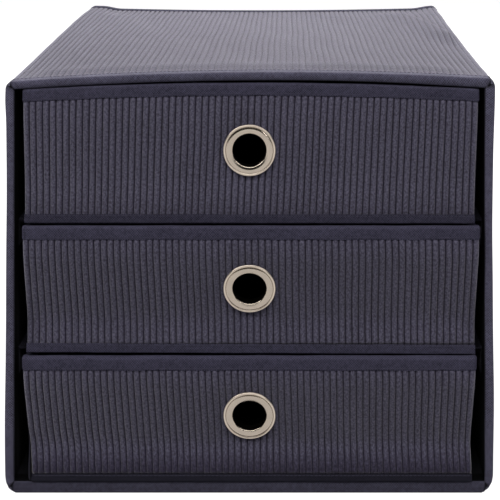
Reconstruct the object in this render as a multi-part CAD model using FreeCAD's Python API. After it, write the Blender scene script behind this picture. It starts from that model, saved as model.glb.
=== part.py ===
# Fabric drawer box: a corduroy sleeve over board, two shelves, and three soft drawers with eyelet pulls.
# Millimetres, +Z up, the open front faces -Y, and the origin is on the floor under the middle.
import FreeCAD
import Part
import math
import os

V = FreeCAD.Vector

# Overall size, at the side walls, and how far the top's middle rises at its front edge and sags at its rear
# edge
WIDTH = 320.0
DEPTH = 320.0
HEIGHT = 271.0
CROWN = 5.0
SAG = 2.2

# Thickness of each layer
CORD = 1.6
PLAIN = 0.7
LINING = 0.5
TAPE = 0.5
FRAME_BOARD = 2.5
BOTTOM_BOARD = 4.6
BACK_BOARD = 2.0
SHELF_BOARD = 1.4
SHELF_CLOTH = 0.4
DRAWER_BOARD = 2.0
BASE_BOARD = 2.0

# Widths of folded tape and of the shelf's sewn flaps
TAPE_LEG = 9.0
RIM_LEG = 8.0
HEM_LEG = 6.0
FLAP_HEIGHT = 18.0

# Running gaps of the drawers
SIDE_GAP = 4.9
REST_GAP = 0.3
RIM_GAP = 1.2
LIP_GAP = 0.8
TOP_LIP_GAP = 0.6
REAR_GAP = 3.5
SHELF_GAP = 2.0
BASE_GAP = 0.5

# Drawer fronts: the flat stretch that carries the eyelet, the bends above and below it, how much of the lean
# the two edges turn back, and the slope from the front's rim to the sides' rim
LAND = 36.0
BEND_R = 40.0
TURN_BACK = 0.35
LIP_RUN = 7.0

# Each drawer, from the lowest: its share of the height, the lean of its flat stretch in degrees, how far its
# rim stands proud of the sleeve, the rise of its front rim at the middle, how much narrower each side is at
# the floor, and how far the eyelet lies above the middle
DRAWERS = {
    "bottom_drawer": {"share": 0.319, "lean": 11.0, "proud": 1.5, "crown": 0.0, "taper": 4.0, "rise": 1.6},
    "middle_drawer": {"share": 0.332, "lean": 11.0, "proud": 1.5, "crown": 0.0, "taper": 2.0, "rise": 1.2},
    "top_drawer": {"share": 0.349, "lean": 3.0, "proud": 0.0, "crown": 3.2, "taper": 1.0, "rise": 4.6},
}

# Eyelet: a spun dome with a barrel, flared at the back over a washer
BORE_R = 11.0
FLANGE_R = 17.2
METAL = 0.6
DOME = 1.9
BRIM = 1.4
SHOULDER = 0.9
FLARE = 1.6
WASHER_R = 16.5
WASHER = 0.6
BARREL_GAP = 0.1

# Reach of cutting solids past what they cut
SPARE = 30.0

# Sleeve: cloth faces, inner faces and shelf places
WALL = CORD + FRAME_BOARD + LINING
INNER_X = WIDTH / 2 - TAPE - WALL
INNER_LOW = TAPE + WALL
FLOOR_FACE = TAPE + CORD + BOTTOM_BOARD + LINING
INNER_HIGH = HEIGHT - TAPE - WALL
FRONT = -DEPTH / 2 + TAPE
REAR = DEPTH / 2 - TAPE
BACK_WALL = PLAIN + BACK_BOARD + LINING
BACK_FACE = REAR - BACK_WALL
SHELF = SHELF_BOARD + 2 * SHELF_CLOTH

# Drawers: walls, outer size and the heights that the sleeve leaves for their fronts
FRONT_WALL = CORD + DRAWER_BOARD + LINING
SIDE_WALL = PLAIN + DRAWER_BOARD + LINING
DRAWER_HALF = INNER_X - TAPE - SIDE_GAP - TAPE
DRAWER_REAR = BACK_FACE - REAR_GAP - TAPE
LIP = RIM_GAP + SHELF + REST_GAP - LIP_GAP
FIRST_FLOOR = FLOOR_FACE + TAPE + REST_GAP
LAST_HEAD = INNER_HIGH - TAPE - TOP_LIP_GAP
FRONTS = LAST_HEAD - FIRST_FLOOR - (len(DRAWERS) - 1) * LIP_GAP
SHELF_FRONT = FRONT + FRONT_WALL + TAPE + LIP_RUN + SHELF_GAP


def box(x0, x1, y0, y1, z0, z1):
    """Return the box between two corners."""
    return Part.makeBox(x1 - x0, y1 - y0, z1 - z0, V(x0, y0, z0))


def fuse(shapes):
    """Return one solid from pieces that meet, without the seams between them."""
    return shapes[0].multiFuse(shapes[1:]).removeSplitter()


def mirrored(shape):
    """Return the shape's mirror image on the other side of the box."""
    return shape.mirror(V(0, 0, 0), V(1, 0, 0))


# Crowned top of the sleeve


def crown_at(y):
    """Return the rise of the top's middle: a crown at the front edge that turns into a sag at the rear one."""
    return CROWN - (CROWN + SAG) * (y + DEPTH / 2) / DEPTH


def bow(y, z, half):
    """Return the crowned line across the top at depth y, a parabola level with z at the inner faces."""
    middle = z + crown_at(y)
    end = middle - crown_at(y) * (half / INNER_X) ** 2
    curve = Part.BezierCurve()
    curve.setPoles([V(-half, y, end), V(0, y, 2 * middle - end), V(half, y, end)])
    return curve.toShape()


def crowned_section(y, z_low, z_high, half):
    """Return the outline of a crowned layer at depth y."""
    low = bow(y, z_low, half)
    high = bow(y, z_high, half)
    left = Part.LineSegment(low.Vertexes[0].Point, high.Vertexes[0].Point).toShape()
    right = Part.LineSegment(low.Vertexes[1].Point, high.Vertexes[1].Point).toShape()
    return Part.Wire([low, right, high, left])


def crowned_slab(y0, y1, z_low, z_high, half=INNER_X):
    """Return a layer of the crowned top between two depths."""
    sections = [crowned_section(y, z_low, z_high, half) for y in (y0, y1)]
    return Part.makeLoft(sections, True, True)


def corner(radius, z, up, y0, y1):
    """Return the quarter round on the right-hand corner at height z, upwards or downwards."""
    rod = Part.makeCylinder(radius, y1 - y0, V(INNER_X, y0, z), V(0, 1, 0))
    low, high = sorted((z, z + up * radius))
    return rod.common(box(INNER_X, INNER_X + radius, y0, y1, low, high))


def both_sides(shape):
    """Return a right-hand piece and its mirror image."""
    return [shape, mirrored(shape)]


# Sleeve: panels, bindings, piping and shelves


def panel_layers(cover, board):
    """Return a panel's layers from the outside in: name, distance from the cloth face and thickness."""
    return [
        ("cover", 0.0, cover),
        ("board", cover, board),
        ("lining", cover + board, LINING),
    ]


def make_panels():
    """Return the five panels of the sleeve, each as a cover, a board and a lining."""
    nodes = {}
    face = WIDTH / 2 - TAPE
    for layer, start, thick in panel_layers(CORD, FRAME_BOARD):
        right = box(face - start - thick, face - start, FRONT, REAR, INNER_LOW, INNER_HIGH)
        nodes["right_" + layer] = right
        nodes["left_" + layer] = mirrored(right)
        high = HEIGHT - TAPE - start
        nodes["top_" + layer] = crowned_slab(FRONT, REAR, high - thick, high)
    for layer, start, thick in panel_layers(CORD, BOTTOM_BOARD):
        low = TAPE + start
        nodes["bottom_" + layer] = level_slab(FRONT, REAR, low, low + thick)
    above = crowned_slab(FRONT, REAR, INNER_HIGH, INNER_HIGH + SPARE)
    for layer, start, thick in panel_layers(PLAIN, BACK_BOARD):
        rear = REAR - start
        nodes["back_" + layer] = level_slab(rear - thick, rear, FLOOR_FACE, INNER_HIGH).cut(above)
    return nodes


def make_edge_piping():
    """Return the four quarter-round corded seams along the edges that run from front to back."""
    bars = []
    for z, up in ((INNER_HIGH, 1), (INNER_LOW, -1)):
        bars += both_sides(corner(WALL, z, up, FRONT, REAR))
    return Part.makeCompound(bars)


def level_slab(y0, y1, z_low, z_high):
    """Return a level layer across the sleeve between two depths."""
    return box(-INNER_X, INNER_X, y0, y1, z_low, z_high)


def front_strip(z, level, up, slab):
    """Return the folded tape on the upper or lower front edge, with its turned corners.

    z is the height of the corners' middle, level the panel's inner face, and slab makes its layers."""
    edge = -DEPTH / 2
    end = edge + TAPE_LEG
    inside = level - up * TAPE
    face = z + up * WALL
    outside = face + up * TAPE
    outer = INNER_X + WALL + TAPE
    web = slab(edge, FRONT, *sorted((inside, outside)))
    outer_leg = slab(FRONT, end, *sorted((face, outside)))
    inner_leg = slab(FRONT, end, *sorted((inside, level)))
    low, high = sorted((inside, z))
    turn = fuse([
        corner(WALL + TAPE, z, up, edge, FRONT),
        box(INNER_X, outer, edge, FRONT, low, high),
        corner(WALL + TAPE, z, up, FRONT, end).cut(corner(WALL, z, up, FRONT, end)),
        box(INNER_X + WALL, outer, FRONT, end, low, high),
    ])
    return fuse([web, outer_leg, inner_leg] + both_sides(turn))


def make_front_bindings():
    """Return the four folded tapes round the sleeve's open front."""
    edge = -DEPTH / 2
    end = edge + TAPE_LEG
    low = FLOOR_FACE + TAPE
    high = INNER_HIGH - TAPE
    face = INNER_X + WALL
    right = fuse([
        box(INNER_X - TAPE, face + TAPE, edge, FRONT, low, high),
        box(INNER_X - TAPE, INNER_X, FRONT, end, low, high),
        box(face, face + TAPE, FRONT, end, low, high),
    ])
    return {
        "front_binding_top": front_strip(INNER_HIGH, INNER_HIGH, 1, crowned_slab),
        "front_binding_bottom": front_strip(INNER_LOW, FLOOR_FACE, -1, level_slab),
        "front_binding_left": mirrored(right),
        "front_binding_right": right,
    }


def make_rear_bindings():
    """Return the tape round the sleeve's rear edge, turned over the margin of the back panel.

    One length goes up a side, over the top and down again, and a strip lies under the lower edge."""
    end = DEPTH / 2
    start = end - TAPE_LEG
    face = INNER_X + WALL
    margin = TAPE_LEG - WALL - TAPE
    inside = INNER_X - margin

    def turns(z, up):
        skin = corner(WALL + TAPE, z, up, start, REAR).cut(corner(WALL, z, up, start, REAR))
        return both_sides(fuse([skin, corner(WALL + TAPE, z, up, REAR, end)]))

    upright = fuse([
        box(face, face + TAPE, start, REAR, INNER_LOW, INNER_HIGH),
        box(inside, face + TAPE, REAR, end, INNER_LOW, INNER_HIGH),
    ])
    arch = [
        crowned_slab(start, REAR, HEIGHT - TAPE, HEIGHT),
        crowned_slab(REAR, end, INNER_HIGH - margin, HEIGHT),
    ]
    sill = [
        level_slab(start, REAR, 0, TAPE),
        box(-inside, inside, REAR, end, 0, INNER_LOW + margin),
    ]
    ends = both_sides(box(inside, INNER_X, REAR, end, 0, INNER_LOW))
    return {
        "rear_binding": fuse(arch + both_sides(upright) + turns(INNER_HIGH, 1)),
        "rear_binding_bottom": fuse(sill + ends + turns(INNER_LOW, -1)),
    }


def make_shelf(name, top):
    """Return one shelf with its upper face at top: a board in a cloth sleeve, sewn on by two side flaps."""
    z = top - SHELF
    span = INNER_X - SHELF_CLOTH
    board = box(-span, span, SHELF_FRONT + SHELF_CLOTH, BACK_FACE, z + SHELF_CLOTH, top - SHELF_CLOTH)
    sleeve = box(-span, span, SHELF_FRONT, BACK_FACE, z, top).cut(board)
    flap = box(span, INNER_X, SHELF_FRONT, BACK_FACE, top - FLAP_HEIGHT, top)
    return {
        name + "_board": board,
        name + "_cover": fuse([sleeve] + both_sides(flap)),
    }


def make_sleeve(drawers):
    """Return every fixed piece of the box, with the shelves under the drawers that stand on them."""
    nodes = make_panels()
    nodes["edge_piping"] = make_edge_piping()
    nodes.update(make_front_bindings())
    nodes.update(make_rear_bindings())
    nodes.update(make_shelf("lower_shelf", drawers["middle_drawer"].floor - REST_GAP))
    nodes.update(make_shelf("upper_shelf", drawers["top_drawer"].floor - REST_GAP))
    return nodes


# Drawers


def straight(length, lean):
    """Return a straight step upwards that leans out to the front."""
    return V(0, -math.sin(lean), math.cos(lean)) * length


def bend(start, end, way):
    """Return the step along a bend from one lean to another, outwards (1) or inwards (-1)."""
    return V(0, math.cos(end) - math.cos(start), math.sin(end) - math.sin(start)) * (way * BEND_R)


class Drawer:
    """The outline of one drawer, and the solids that its layers are cut from."""

    def __init__(self, floor, form):
        """Place the drawer with its underside at floor and trace the line of its leaning front.

        form holds the drawer's entry in the table of drawers."""
        self.floor = floor
        self.head = floor + form["share"] * FRONTS
        self.side_top = self.head - LIP
        self.crown = form["crown"]
        self.taper = form["taper"]
        self.lean = math.radians(form["lean"])
        self.back = TURN_BACK * self.lean
        self.head_y = FRONT - form["proud"]
        self.slope_start = self.head_y + FRONT_WALL + TAPE
        bends = 2 * BEND_R * (math.sin(self.lean) + math.sin(self.back))
        ends = self.head - self.floor - LAND * math.cos(self.lean) - bends
        self.trace_front(ends / 2 + form["rise"], ends / 2 - form["rise"])

    def trace_front(self, low, high):
        """Trace the front's line from the floor up, for the heights of its straight ends.

        The edges turn back a little, and the stretch between the two bends leans out towards the rim."""
        edge = -self.back
        middle = (self.lean + edge) / 2
        foot = V(0, 0, self.floor)
        lower = foot + straight(low / math.cos(edge), edge)
        land_foot = lower + bend(edge, self.lean, 1)
        land_top = land_foot + straight(LAND, self.lean)
        upper = land_top + bend(self.lean, edge, -1)
        rim = upper + straight(high / math.cos(edge), edge)
        points = [foot, lower, lower + bend(edge, middle, 1), land_foot,
                  land_top, land_top + bend(self.lean, middle, -1), upper, rim]
        slide = V(0, self.head_y - rim.y, 0)
        self.points = [point + slide for point in points]
        self.foot_y = self.points[0].y
        self.land_middle = (land_foot + land_top) * 0.5 + slide

    def front_line(self, depth, x):
        """Return the front's line, moved back by depth, and carried on upright at both ends."""
        foot, lower, low_bend, land_foot, land_top, high_bend, upper, rim = [
            point + V(x, depth, 0) for point in self.points]
        reach = V(0, 0, SPARE)
        return [
            Part.LineSegment(foot - reach, foot),
            Part.LineSegment(foot, lower),
            Part.Arc(lower, low_bend, land_foot),
            Part.LineSegment(land_foot, land_top),
            Part.Arc(land_top, high_bend, upper),
            Part.LineSegment(upper, rim),
            Part.LineSegment(rim, rim + reach),
        ]

    def within(self, side):
        """Return all that lies between the drawer's tapered sides, moved in by side."""
        low = self.floor - SPARE
        high = self.head + SPARE
        lean = self.taper / (self.head - self.floor)
        low_half = DRAWER_HALF - side - lean * (self.head - low)
        high_half = DRAWER_HALF - side - lean * (self.head - high)
        near = self.head_y - 2 * SPARE
        outline = [
            V(-low_half, near, low),
            V(low_half, near, low),
            V(high_half, near, high),
            V(-high_half, near, high),
        ]
        face = Part.Face(Part.makePolygon(outline + outline[:1]))
        return face.extrude(V(0, DRAWER_REAR + 2 * SPARE - near, 0))

    def behind(self, depth, side, rear):
        """Return all that lies behind the front line, inset from the drawer's side and rear faces."""
        wide = DRAWER_HALF + 2 * SPARE
        line = self.front_line(depth, -wide)
        first = line[0].StartPoint
        last = line[-1].EndPoint
        back = DRAWER_REAR - rear
        close = [
            Part.LineSegment(last, V(-wide, back, last.z)),
            Part.LineSegment(V(-wide, back, last.z), V(-wide, back, first.z)),
            Part.LineSegment(V(-wide, back, first.z), first),
        ]
        wire = Part.Wire([curve.toShape() for curve in line + close])
        return Part.Face(wire).extrude(V(2 * wide, 0, 0)).common(self.within(side))

    def past(self, depth):
        """Return all that lies behind the front line, past the drawer's sides and rear."""
        return self.behind(depth, -SPARE, -SPARE)

    def below_rim(self, z_low, drop):
        """Return all that lies between a level and the rim line lowered by drop."""
        wide = DRAWER_HALF + SPARE
        near = self.head_y - SPARE
        far = DRAWER_REAR + SPARE
        outline = [
            V(-wide, near, z_low),
            V(-wide, far, z_low),
            V(-wide, far, self.side_top - drop),
            V(-wide, self.slope_start + LIP_RUN, self.side_top - drop),
            V(-wide, self.slope_start, self.head - drop),
            V(-wide, near, self.head - drop),
        ]
        solid = Part.Face(Part.makePolygon(outline + outline[:1])).extrude(V(2 * wide, 0, 0))
        if self.crown > 0:
            solid = fuse([solid, self.rim_rise(near, drop)])
        return solid

    def rim_rise(self, near, drop):
        """Return the shallow arch over the front's rim."""
        half = DRAWER_HALF + TAPE
        level = self.head - drop
        arch = Part.Arc(V(-half, near, level), V(0, near, level + self.crown), V(half, near, level))
        chord = Part.LineSegment(V(half, near, level), V(-half, near, level))
        face = Part.Face(Part.Wire([arch.toShape(), chord.toShape()]))
        return face.extrude(V(0, self.slope_start - near, 0))

    def level_band(self, z_low, z_high):
        """Return the slice between two levels."""
        wide = DRAWER_HALF + SPARE
        return box(-wide, wide, self.head_y - SPARE, DRAWER_REAR + SPARE, z_low, z_high)

    def eyelet_axis(self):
        """Return the direction that the eyelet faces."""
        return V(0, -math.cos(self.lean), -math.sin(self.lean))

    def eyelet_depth(self):
        """Return the front wall's thickness along the eyelet's axis."""
        return FRONT_WALL * math.cos(self.lean)

    def on_eyelet_axis(self, shape):
        """Return a shape made along +Z, moved to the eyelet's place."""
        turn = FreeCAD.Rotation(V(0, 0, 1), self.eyelet_axis())
        placed = shape.copy()
        placed.Placement = FreeCAD.Placement(self.land_middle, turn)
        return placed

    def eyelet_hole(self):
        """Return the punched hole through the front wall."""
        return self.on_eyelet_axis(Part.makeCylinder(
            BORE_R + METAL + BARREL_GAP, 2 * SPARE, V(0, 0, -SPARE)))


def make_front_layers(drawer):
    """Return the drawer's corduroy front, the hem tape on its lower edge and the board behind it."""
    skin = drawer.behind(0, 0, 0).cut(drawer.past(CORD))
    fold = drawer.behind(-TAPE, 0, 0).cut(drawer.past(0))
    hem = fuse([
        fold.common(drawer.level_band(drawer.floor, drawer.floor + HEM_LEG)),
        skin.common(drawer.level_band(drawer.floor, drawer.floor + TAPE)),
    ])
    hole = drawer.eyelet_hole()
    cover = skin.common(drawer.below_rim(drawer.floor + TAPE, TAPE))
    board = drawer.behind(CORD, PLAIN, PLAIN).cut(drawer.past(CORD + DRAWER_BOARD))
    board = board.common(drawer.below_rim(drawer.floor + PLAIN, TAPE))
    return {"front_cover": cover.cut(hole), "front_hem": hem, "front_board": board.cut(hole)}


def make_tub_layers(drawer):
    """Return the drawer's cloth bag, its other boards and its lining."""
    floor = drawer.floor
    open_top = drawer.head + SPARE
    above_floor = drawer.level_band(floor + PLAIN, open_top)
    bag_hollow = drawer.behind(CORD - SPARE, PLAIN, PLAIN).common(above_floor)
    bag = drawer.behind(CORD, 0, 0).common(drawer.below_rim(floor, TAPE)).cut(bag_hollow)
    inset = PLAIN + DRAWER_BOARD
    depth = CORD + DRAWER_BOARD
    back_face = DRAWER_REAR - PLAIN
    back = box(-WIDTH, WIDTH, back_face - DRAWER_BOARD, back_face, floor + PLAIN, drawer.side_top - TAPE)
    back = back.common(drawer.within(PLAIN))
    sides = drawer.behind(depth, PLAIN, inset).common(drawer.below_rim(floor + PLAIN, TAPE))
    sides = sides.cut(drawer.within(inset))
    lining_floor = floor + PLAIN + LINING
    above_lining = drawer.level_band(lining_floor, open_top)
    hollow = drawer.behind(FRONT_WALL, SIDE_WALL, SIDE_WALL).common(above_lining)
    lining = drawer.behind(depth, inset, inset).common(drawer.below_rim(floor + PLAIN, TAPE)).cut(hollow)
    base = drawer.behind(FRONT_WALL + BASE_GAP, SIDE_WALL + BASE_GAP, SIDE_WALL + BASE_GAP)
    return {
        "bag": bag,
        "back_board": back,
        "side_boards": sides,
        "base_board": base.common(drawer.level_band(lining_floor, lining_floor + BASE_BOARD)),
        "lining": lining.cut(drawer.eyelet_hole()),
    }


def make_rim_binding(drawer):
    """Return the tape folded over the drawer's rim, all the way round."""
    outer = drawer.behind(-TAPE, -TAPE, -TAPE)
    inner = drawer.behind(FRONT_WALL + TAPE, SIDE_WALL + TAPE, SIDE_WALL + TAPE)
    low = drawer.floor - SPARE
    band = drawer.below_rim(low, 0).cut(drawer.below_rim(low, RIM_LEG))
    wall = drawer.behind(0, 0, 0).cut(drawer.behind(FRONT_WALL, SIDE_WALL, SIDE_WALL))
    return outer.cut(inner).common(band).cut(wall.common(drawer.below_rim(low, TAPE)))


def eyelet_profile(depth):
    """Return the outline of the spun eyelet as radius and height above the cloth.

    It runs up the bore, out along the broad ring, down its shoulder to the brim, back under the flange, down the
    barrel and out along the flare that holds the washer."""
    barrel = BORE_R + METAL
    tail = -(depth + WASHER)
    brim = FLANGE_R - BRIM
    outline = [
        (BORE_R, tail - METAL),
        (BORE_R, DOME),
        (brim - SHOULDER, DOME),
        (brim, METAL),
        (FLANGE_R, 0),
        (barrel, 0),
        (barrel, tail),
        (barrel + FLARE, tail),
        (barrel + FLARE, tail - METAL),
    ]
    points = [V(radius, 0, height) for radius, height in outline]
    return Part.makePolygon(points + points[:1])


def make_eyelet(drawer):
    """Return the eyelet and the washer that its tail is flared over."""
    depth = drawer.eyelet_depth()
    eyelet = Part.Face(eyelet_profile(depth)).revolve(V(0, 0, 0), V(0, 0, 1), 360)
    seat = V(0, 0, -depth - WASHER)
    washer = Part.makeCylinder(WASHER_R, WASHER, seat)
    washer = washer.cut(Part.makeCylinder(BORE_R + METAL + BARREL_GAP, WASHER, seat))
    return {
        "eyelet": drawer.on_eyelet_axis(eyelet),
        "eyelet_washer": drawer.on_eyelet_axis(washer),
    }


def make_drawer(drawer):
    """Return every piece of one drawer by its short name."""
    pieces = make_front_layers(drawer)
    pieces.update(make_tub_layers(drawer))
    pieces["rim_binding"] = make_rim_binding(drawer)
    pieces.update(make_eyelet(drawer))
    return pieces


def place_drawers():
    """Return the drawers by name, each above the one before."""
    drawers = {}
    floor = FIRST_FLOOR
    for name, form in DRAWERS.items():
        drawers[name] = Drawer(floor, form)
        floor = drawers[name].head + LIP_GAP
    return drawers


def make_all():
    """Return every node of the box by name."""
    drawers = place_drawers()
    nodes = make_sleeve(drawers)
    for name, drawer in drawers.items():
        for piece, shape in make_drawer(drawer).items():
            nodes[name + "_" + piece] = shape
    return nodes


def export(nodes):
    """Write each node to a STEP file of its own."""
    os.makedirs("parts", exist_ok=True)
    for name, shape in nodes.items():
        solids = shape.Solids
        if not shape.isValid() or not solids:
            raise ValueError(name + " is not a sound solid")
        whole = solids[0] if len(solids) == 1 else Part.makeCompound(solids)
        whole.exportStep(os.path.join("parts", name + ".step"))
    print(len(nodes), "nodes written")


export(make_all())
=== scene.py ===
"""Dressed model of a small drawer box: a corduroy sleeve, folded tape, soft drawers and nickel eyelets.

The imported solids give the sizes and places. This script dresses them in cloth, tape, thread and metal, and adds the
floor, the light and the camera.
"""

import logging
import math
from dataclasses import dataclass
from enum import Enum
from functools import partial
from typing import Any, Callable, Optional, Sequence, Union

import bmesh
import bpy
import numpy as np
from mathutils import Matrix, Vector

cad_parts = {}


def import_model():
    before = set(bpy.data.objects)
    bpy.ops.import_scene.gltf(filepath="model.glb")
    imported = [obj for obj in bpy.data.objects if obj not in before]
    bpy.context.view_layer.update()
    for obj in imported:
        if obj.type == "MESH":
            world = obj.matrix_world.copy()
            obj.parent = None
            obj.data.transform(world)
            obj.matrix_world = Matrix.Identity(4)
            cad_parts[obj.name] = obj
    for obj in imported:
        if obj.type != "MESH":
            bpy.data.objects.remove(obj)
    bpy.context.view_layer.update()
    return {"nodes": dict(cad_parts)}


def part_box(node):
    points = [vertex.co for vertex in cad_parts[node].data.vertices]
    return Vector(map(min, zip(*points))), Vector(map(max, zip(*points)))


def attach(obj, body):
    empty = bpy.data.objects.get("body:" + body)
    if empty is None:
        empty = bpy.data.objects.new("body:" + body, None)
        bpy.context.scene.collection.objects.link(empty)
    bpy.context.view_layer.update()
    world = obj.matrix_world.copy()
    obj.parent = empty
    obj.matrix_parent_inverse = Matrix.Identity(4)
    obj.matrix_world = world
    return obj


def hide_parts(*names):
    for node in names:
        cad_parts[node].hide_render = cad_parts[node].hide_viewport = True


LOG = logging.getLogger("drawer_box")
MM = 0.001
Points = np.ndarray
Colour = tuple[float, float, float]
Seam = tuple[Points, Points]
Surface = Callable[[Points, Points, Points], Points]
Spread = Callable[[Points, Points], Points]

# Inputs and output of a Mix node that mixes colours.
MIX_FACTOR, MIX_FIRST, MIX_SECOND, MIX_RESULT = 0, 6, 7, 2

# Angles in degrees above which an edge of a piece stays crisp.
CLOTH_SHARP, CORD_SHARP, TAPE_SHARP, METAL_SHARP = 50.0, 75.0, 60.0, 40.0

# Points along a leg of a folded tape and round half of its fold.
LEG_STEPS, ARC_STEPS = 3, 5

# Share of painted light on a tape's outer leg, and of painted shade on its inner leg, by the number of the point
# on its section. The section starts at the end of the outer leg.
LIGHT_ON_OUTER_LEG = ((0, 3, 5), (1.0, 0.8, 0.0))
SHADE_ON_INNER_LEG = ((8, 11, 13, 25), (0.0, 0.1, 1.0, 1.0))

# Points round a quarter corner, up a side and along the top or bottom of a tape on the sleeve.
CORNER_STEPS, UPRIGHT_STEPS, LEVEL_STEPS = 7, 80, 110


class Body(Enum):
    """The bodies that pieces ride on."""

    SLEEVE = "frame"
    TOP = "top_drawer"
    MIDDLE = "middle_drawer"
    BOTTOM = "bottom_drawer"


class Edge(Enum):
    """The four edges of the sleeve's open ends."""

    TOP = "top"
    BOTTOM = "bottom"
    LEFT = "left"
    RIGHT = "right"


class Slot(Enum):
    """The material slots of the part."""

    CORD = "cord_cloth"
    PLAIN = "plain_cloth"
    TAPE = "tape"
    LINING = "lining_cloth"
    BOARD = "grey_board"
    NICKEL = "nickel"

    @property
    def word(self) -> str:
        """Return the word that ends the names of pieces in this slot."""
        words = {Slot.CORD: "corduroy", Slot.PLAIN: "cloth", Slot.TAPE: "tape", Slot.LINING: "felt"}
        return words.get(self, "metal")


@dataclass(frozen=True)
class Span:
    """A solid's box at rest."""

    low: Points
    high: Points

    @classmethod
    def of(cls, node: str) -> "Span":
        """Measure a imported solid.

        Args:
            node: Name of the solid.

        Returns:
            The solid's box.
        """
        low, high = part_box(node)
        return cls(np.array(low, dtype=float), np.array(high, dtype=float))


@dataclass(frozen=True)
class Layers:
    """Thickness of each layer of the box."""

    cord: float
    plain: float
    lining: float
    tape: float
    board: float

    @classmethod
    def measured(cls) -> "Layers":
        """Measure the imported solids.

        Returns:
            The layers of this box.
        """
        cover, lining = Span.of("right_cover"), Span.of("right_lining")
        back, tape = Span.of("back_cover"), Span.of("front_binding_right")
        board = Span.of("top_drawer_back_board")
        return cls(
            cord=cover.high[0] - cover.low[0],
            plain=back.high[1] - back.low[1],
            lining=lining.high[0] - lining.low[0],
            tape=tape.high[0] - cover.high[0],
            board=board.high[1] - board.low[1],
        )


def ripple(along: Points, length: float, phase: float) -> Points:
    """Return a smooth uneven wave.

    Args:
        along: Distances at which the wave is wanted.
        length: Length of the longest wave.
        phase: Where the wave starts, which makes one edge differ from the next.

    Returns:
        Values between about -1 and 1.
    """
    turn = 2 * math.pi * np.asarray(along) / length
    waves = np.sin(turn + phase) + 0.6 * np.sin(1.73 * turn + 2.1 * phase) + 0.35 * np.sin(3.1 * turn + 0.7 * phase)
    return waves / 1.95


def ease(value: Points, start: float, end: float) -> Points:
    """Return a smooth step.

    Args:
        value: Values to place on the step.
        start: Where the step is 0.
        end: Where the step is 1.

    Returns:
        The step's height, from 0 to 1.
    """
    part = np.clip((np.asarray(value) - start) / (end - start), 0, 1)
    return part * part * (3 - 2 * part)


def along_line(line: Points) -> Points:
    """Return the distance of each point along a line of points."""
    steps = np.linalg.norm(np.diff(line, axis=0), axis=1)
    return np.concatenate([[0.0], np.cumsum(steps)])


def unit(vectors: Points) -> Points:
    """Return the vectors at length 1."""
    return vectors / np.maximum(np.linalg.norm(vectors, axis=-1, keepdims=True), 1e-12)


def at_distance(values: Points, distance: Points, where: Points) -> Points:
    """Read rows of values at places along a line.

    Args:
        values: One row for each point of the line.
        distance: Distance of those points along the line.
        where: Distances at which rows are wanted.

    Returns:
        One row for each wanted distance.
    """
    return np.stack([np.interp(where, distance, column) for column in values.T], -1)


def arc_points(centre: tuple[float, float], size: float, start: float, end: float,
               count: int) -> list[tuple[float, float]]:
    """Return points on an arc.

    Args:
        centre: Middle of the arc.
        size: Radius of the arc.
        start: Angle of the first point in degrees.
        end: Angle of the last point in degrees.
        count: Number of points.

    Returns:
        The points in order.
    """
    angles = np.radians(np.linspace(start, end, count))
    return [(centre[0] + size * math.cos(a), centre[1] + size * math.sin(a)) for a in angles]


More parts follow.
